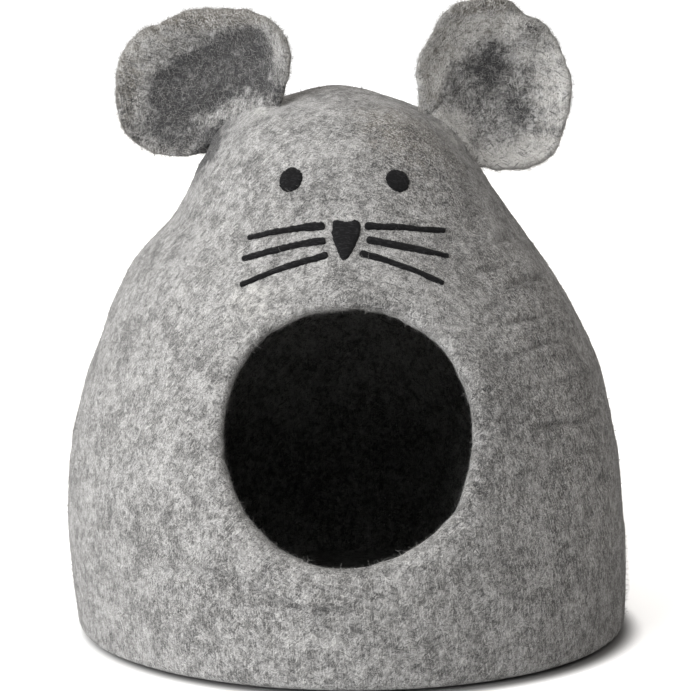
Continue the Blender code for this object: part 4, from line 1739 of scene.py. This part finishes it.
@dataclass(frozen=True)
class Studio:
    """A white floor with a shadow painted round the cave, a white backdrop, soft light from the left, and the
    camera.
    """

    eye: Triple = (-0.0012, -1.962, 0.5044)
    pitch: float = 81.935               # the camera's tilt from straight down, in degrees
    lens: float = 128.03                # in millimetres, like the sensor
    sensor: float = 36.0
    reach: float = 9.0                  # how far off the floor ends and the backdrop stands
    height: float = 5.0
    sides: int = 72
    floor_shade: float = 0.9
    floor_glow: float = 0.42
    painted_shadow_reach: Pair = (0.2125, 0.234)     # a shadow is painted on the floor within the first distance; it is bright beyond the second
    painted_shadow_at: Triple = (0.0095, -0.0075, 0.0)  # both are measured from here
    painted_shadow_share: float = 0.18         # how light the painted shadow is, as a share of its shade
    under: float = -0.001               # a lower floor, unseen by the camera, throws light back from here
    bounce: float = 0.62                # and this is its shade
    backdrop_glow: float = 1.5
    lamps: tuple[Lamp, ...] = (
        Lamp("key", strength=5.08, turn=-50.0, rise=20.0, spread=50.0),
        Lamp("side", strength=1.05, turn=-97.0, rise=10.0, spread=50.0),
        Lamp("overhead", strength=2.6, turn=0.0, rise=90.0, spread=120.0, tint=(1.0, 0.955, 0.91)),
    )
    sky: float = 0.03

    def stand_camera(self) -> None:
        """Set the camera where the photograph was taken from."""
        data = bpy.data.cameras.new("camera")
        data.lens, data.sensor_width = self.lens, self.sensor
        camera = place_object("camera", data)
        camera.location = self.eye
        camera.rotation_euler = (math.radians(self.pitch), 0.0, 0.0)
        bpy.context.scene.camera = camera

    def plain(self, name: str, shade: float, glow: float) -> bpy.types.Material:
        """Make a matt white, with a shadow painted near the cave where it glows.

        Args:
            name: Its name.
            shade: How much light it throws back.
            glow: How much it glows of itself, away from the cave.

        Returns:
            The material.
        """
        paint = Recipe(name)
        sockets = {0: paint.place(), 1: self.painted_shadow_at}
        away = paint.node("ShaderNodeVectorMath", {"operation": "DISTANCE"}, sockets, "Value")
        # the painted shadow near the cave: a darker shade and no glow there
        past_painted_shadow = paint.rise(away, *self.painted_shadow_reach)
        painted_shadow_shade = shade * (self.painted_shadow_share if glow else 1.0)
        return paint.finish({
            "Base Color": paint.blend(past_painted_shadow, (painted_shadow_shade,) * 3, (shade,) * 3),
            "Emission Color": paint.blend(past_painted_shadow, (0.0,) * 3, (1.0,) * 3),
            "Emission Strength": glow, "Roughness": 1.0, "Specular IOR Level": 0.0,
        })

    def set_up(self, name: str, points: list[tuple[float, ...]], faces: list[tuple[int, ...]],
               material: bpy.types.Material) -> bpy.types.Object:
        """Add a piece of the stage.

        Args:
            name: Its name.
            points: Its points.
            faces: Its faces.
            material: Its paint.

        Returns:
            The piece.
        """
        mesh = bpy.data.meshes.new(name)
        mesh.from_pydata(points, [], faces)
        mesh.materials.append(material)
        made = place_object(name, mesh)
        return made

    def build(self) -> None:
        """Set up the stage, the lights and the camera."""
        turns = [math.tau * k / self.sides for k in range(self.sides)]
        ring = [(self.reach * math.cos(turn), self.reach * math.sin(turn)) for turn in turns]
        floors = (
            ("floor", 0.0, self.floor_shade, self.floor_glow),
            ("under_floor", self.under, self.bounce, 0.0),
        )
        for name, level, shade, glow in floors:
            floor = self.set_up(name, [(x, y, level) for x, y in ring], [tuple(range(self.sides))],
                                self.plain(name + "_white", shade, glow))
            floor.visible_camera = glow > 0.0
            floor.visible_diffuse = floor.visible_glossy = floor.visible_shadow = not glow
        points = [(x, y, z) for z in (0.0, self.height) for x, y in ring]
        faces = [(k, (k + 1) % self.sides, (k + 1) % self.sides + self.sides, k + self.sides)
                 for k in range(self.sides)]
        wall = self.set_up("backdrop", points, faces, self.plain("backdrop_white", 0.0, self.backdrop_glow))
        wall.visible_diffuse = wall.visible_glossy = wall.visible_shadow = False
        for lamp in self.lamps:
            lamp.hang()
        world = bpy.data.worlds.new("studio")
        world.use_nodes = True
        sky = world.node_tree.nodes["Background"]
        sky.inputs["Color"].default_value = (1.0, 1.0, 1.0, 1.0)
        sky.inputs["Strength"].default_value = self.sky
        bpy.context.scene.world = world
        bpy.context.scene.view_settings.view_transform = "Standard"
        self.stand_camera()


# ---- The cave ------------------------------------------------------------------------------------

EAR_LEFT = Ear(
    name="ear_left_felt",
    node="ear_left",
    centre=(-0.1141, -0.0192, 0.4369),
    facing=(-0.346, -0.916, -0.204),
    dish=0.017,
    rim=Rim((
        (0.0, 0.072), (24.0, 0.0825), (45.0, 0.0785), (68.0, 0.064), (95.0, 0.059), (120.0, 0.058),
        (148.0, 0.067), (175.0, 0.0748), (205.0, 0.0797), (230.0, 0.0737), (250.0, 0.064),
        (270.0, 0.057), (300.0, 0.062), (335.0, 0.066),
    )),
    patches=(
        Patch(0.024, 0.022, 0.033, 0.017, 12.0, charcoal_and_painted_shade=0.95),
        Patch(-0.027, -0.014, 0.026, 0.02, 35.0, charcoal_and_painted_shade=0.95),
        Patch(0.002, 0.002, 0.03, 0.018, 27.0, charcoal_and_painted_shade=0.75),
        Patch(0.006, -0.013, 0.015, 0.01, 20.0, charcoal_and_painted_shade=0.6),
        Patch(0.05, 0.01, 0.014, 0.015, 0.0, charcoal_and_painted_shade=0.6),
        Patch(0.042, -0.006, 0.026, 0.009, 0.0, charcoal_and_painted_shade=0.6),
        Patch(0.044, 0.039, 0.017, 0.008, -10.0, charcoal_and_painted_shade=0.55, warm=0.3),
        Patch(-0.006, 0.0, 0.017, 0.006, 30.0, charcoal_and_painted_shade=-0.55, pale_and_painted_light=0.15),
        Patch(-0.021, 0.015, 0.019, 0.007, 30.0, charcoal_and_painted_shade=0.6),
        Patch(-0.042, -0.008, 0.008, 0.015, 0.0, charcoal_and_painted_shade=0.4),
        Patch(-0.044, 0.037, 0.022, 0.011, 24.0, warm=0.2, pale_and_painted_light=0.7),
        Patch(-0.062, 0.016, 0.012, 0.018, 0.0, warm=0.3, pale_and_painted_light=0.6),
        Patch(0.066, 0.028, 0.007, 0.013, 0.0, charcoal_and_painted_shade=-0.2, pale_and_painted_light=0.4),
        Patch(0.015, 0.054, 0.06, 0.008, 5.0, warm=0.75, pale_and_painted_light=0.2),
        Patch(-0.069, -0.014, 0.01, 0.022, 0.0, charcoal_and_painted_shade=0.15, warm=0.5),
        Patch(-0.074, 0.014, 0.007, 0.016, 0.0, pale_and_painted_light=0.5),
        # these two paint shade at the bottom of the hollow, over charcoal and warm wool
        Patch(-0.026, -0.043, 0.036, 0.011, -6.0, charcoal_and_painted_shade=0.7, warm=0.15),
        Patch(-0.016, -0.057, 0.03, 0.007, -4.0, charcoal_and_painted_shade=0.3, warm=0.3),
        Patch(0.04, -0.026, 0.022, 0.009, 20.0, charcoal_and_painted_shade=0.12),
        # painted shade along the fold at the root
        Patch(0.0056, -0.0475, 0.019, 0.008, 50.0, charcoal_and_painted_shade=0.8),
        Patch(0.068, -0.009, 0.005, 0.011, 0.0, charcoal_and_painted_shade=0.5),
    ),
    ground=Amounts(charcoal_and_painted_shade=0.12, warm=0.15),
    folds=(
        Fold(0.0056, -0.0475, 0.018, 0.0045, 45.0, -0.0035),
        Fold(-0.033, 0.033, 0.03, 0.01, 24.0, 0.0022),
        Fold(0.0, -0.01, 0.03, 0.006, 30.0, 0.002),
    ),
    rolls=(Roll(212.0, 24.0, 0.0022),),
    flat=(0.156, 0.132),
    area=0.0154,
    seed=20,
)
EAR_RIGHT = Ear(
    name="ear_right_felt",
    node="ear_right",
    centre=(0.1161, -0.0117, 0.435),
    facing=(0.201, -0.974, -0.1),
    dish=0.015,
    rim=Rim((
        (0.0, 0.0634), (30.0, 0.0613), (54.0, 0.0627), (68.0, 0.0614), (84.0, 0.0682), (104.0, 0.07),
        (122.0, 0.0722), (142.0, 0.0664), (162.0, 0.0658), (184.0, 0.0618), (215.0, 0.065),
        (245.0, 0.064), (265.0, 0.0658), (290.0, 0.0697), (314.0, 0.075), (338.0, 0.0655),
    )),
    patches=(
        Patch(-0.002, 0.0215, 0.017, 0.016, 0.0, charcoal_and_painted_shade=0.7),
        Patch(-0.016, 0.002, 0.024, 0.016, 15.0, charcoal_and_painted_shade=0.58),
        Patch(0.016, 0.006, 0.019, 0.02, 0.0, charcoal_and_painted_shade=0.4),
        Patch(0.002, -0.027, 0.03, 0.019, 0.0, charcoal_and_painted_shade=0.5),
        Patch(0.024, -0.021, 0.011, 0.013, 0.0, charcoal_and_painted_shade=0.35),
        Patch(0.027, 0.043, 0.01, 0.008, -35.0, charcoal_and_painted_shade=0.5, warm=0.1),
        Patch(-0.018, 0.066, 0.04, 0.007, 4.0, charcoal_and_painted_shade=0.25, warm=0.8),
        Patch(-0.052, 0.036, 0.006, 0.01, -20.0, charcoal_and_painted_shade=0.2, warm=0.2),
        Patch(-0.042, 0.026, 0.011, 0.024, -20.0, warm=0.2, pale_and_painted_light=0.95),
        Patch(-0.004, 0.048, 0.029, 0.012, 0.0, warm=0.15, pale_and_painted_light=1.0),
        Patch(-0.029, 0.035, 0.014, 0.012, 0.0, charcoal_and_painted_shade=-0.2, pale_and_painted_light=0.6),
        Patch(0.03, 0.027, 0.012, 0.01, 0.0, pale_and_painted_light=0.6),
        Patch(0.053, 0.004, 0.015, 0.046, 0.0, pale_and_painted_light=0.72),
        Patch(0.012, -0.059, 0.042, 0.013, 10.0, charcoal_and_painted_shade=-0.1, pale_and_painted_light=1.0),
        # painted light at the root, lifting the shade of its fold
        Patch(-0.034, -0.035, 0.018, 0.015, 0.0, charcoal_and_painted_shade=-0.25, pale_and_painted_light=1.0),
        # painted shade along the fold at the root
        Patch(-0.047, -0.019, 0.01, 0.003, 40.0, charcoal_and_painted_shade=0.45),
        Patch(-0.052, 0.006, 0.011, 0.024, 0.0, warm=0.1, pale_and_painted_light=0.75),
    ),
    ground=Amounts(warm=0.2),
    folds=(
        Fold(0.029, 0.043, 0.013, 0.009, -35.0, 0.0048),
        Fold(0.025, 0.056, 0.016, 0.006, -25.0, -0.003),
        Fold(-0.0475, -0.019, 0.014, 0.0035, 40.0, -0.0025),
    ),
    rolls=(Roll(-55.0, 26.0, 0.0014),),
    rim_loose=(0.29, 0.284, 0.27),
    flat=(0.14, 0.14),
    area=0.0147,
    seed=30,
)
EARS = (EAR_LEFT, EAR_RIGHT)
FACE = Face(
    spots=(
        Spot("eye_left", -0.0425, 0.368, 0.0075, 0.0093, -40.0),
        Spot("eye_right", 0.0383, 0.367, 0.0069, 0.0092, 55.0, seed=42),
        Spot("nose", -0.0005, 0.3255, 0.0108, 0.014, 0.0, (
            (0.66, 0.95), (0.98, 0.68), (0.86, 0.16), (0.42, -0.52), (-0.14, -1.0),
            (-0.6, -0.5), (-0.94, 0.16), (-0.98, 0.7), (-0.64, 0.96), (0.0, 0.93),
        ), fill=0.67, seed=44),
    ),
    whiskers=(
        Whisker("whisker_left_1", (-0.0163, 0.3354), (-0.0752, 0.325), 0.0016, 0.0046, 60),
        Whisker("whisker_left_2", (-0.0157, 0.325), (-0.079, 0.31), 0.0018, 0.0046, 63),
        Whisker("whisker_left_3", (-0.0138, 0.3152), (-0.0798, 0.2918), 0.0022, 0.0038, 66),
        Whisker("whisker_right_1", (0.0128, 0.3354), (0.0745, 0.33), 0.0004, 0.0046, 69),
        Whisker("whisker_right_2", (0.014, 0.3254), (0.0766, 0.3117), 0.0008, 0.0046, 72),
        Whisker("whisker_right_3", (0.009, 0.3166), (0.0721, 0.2935), 0.0018, 0.0038, 75),
    ),
)


def main() -> None:
    """Build and dress the cave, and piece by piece."""
    dome = Dome()
    shell, outside = dome.build(EARS)
    head = shell.tree()
    dome.shag(shell, outside, FACE.build(head))
    for ear in EARS:
        ear.shag(ear.build(head), head)
    Studio().build()


if __name__ == "__main__":
    logging.basicConfig(level=logging.INFO, format="%(name)s: %(message)s")
    main()
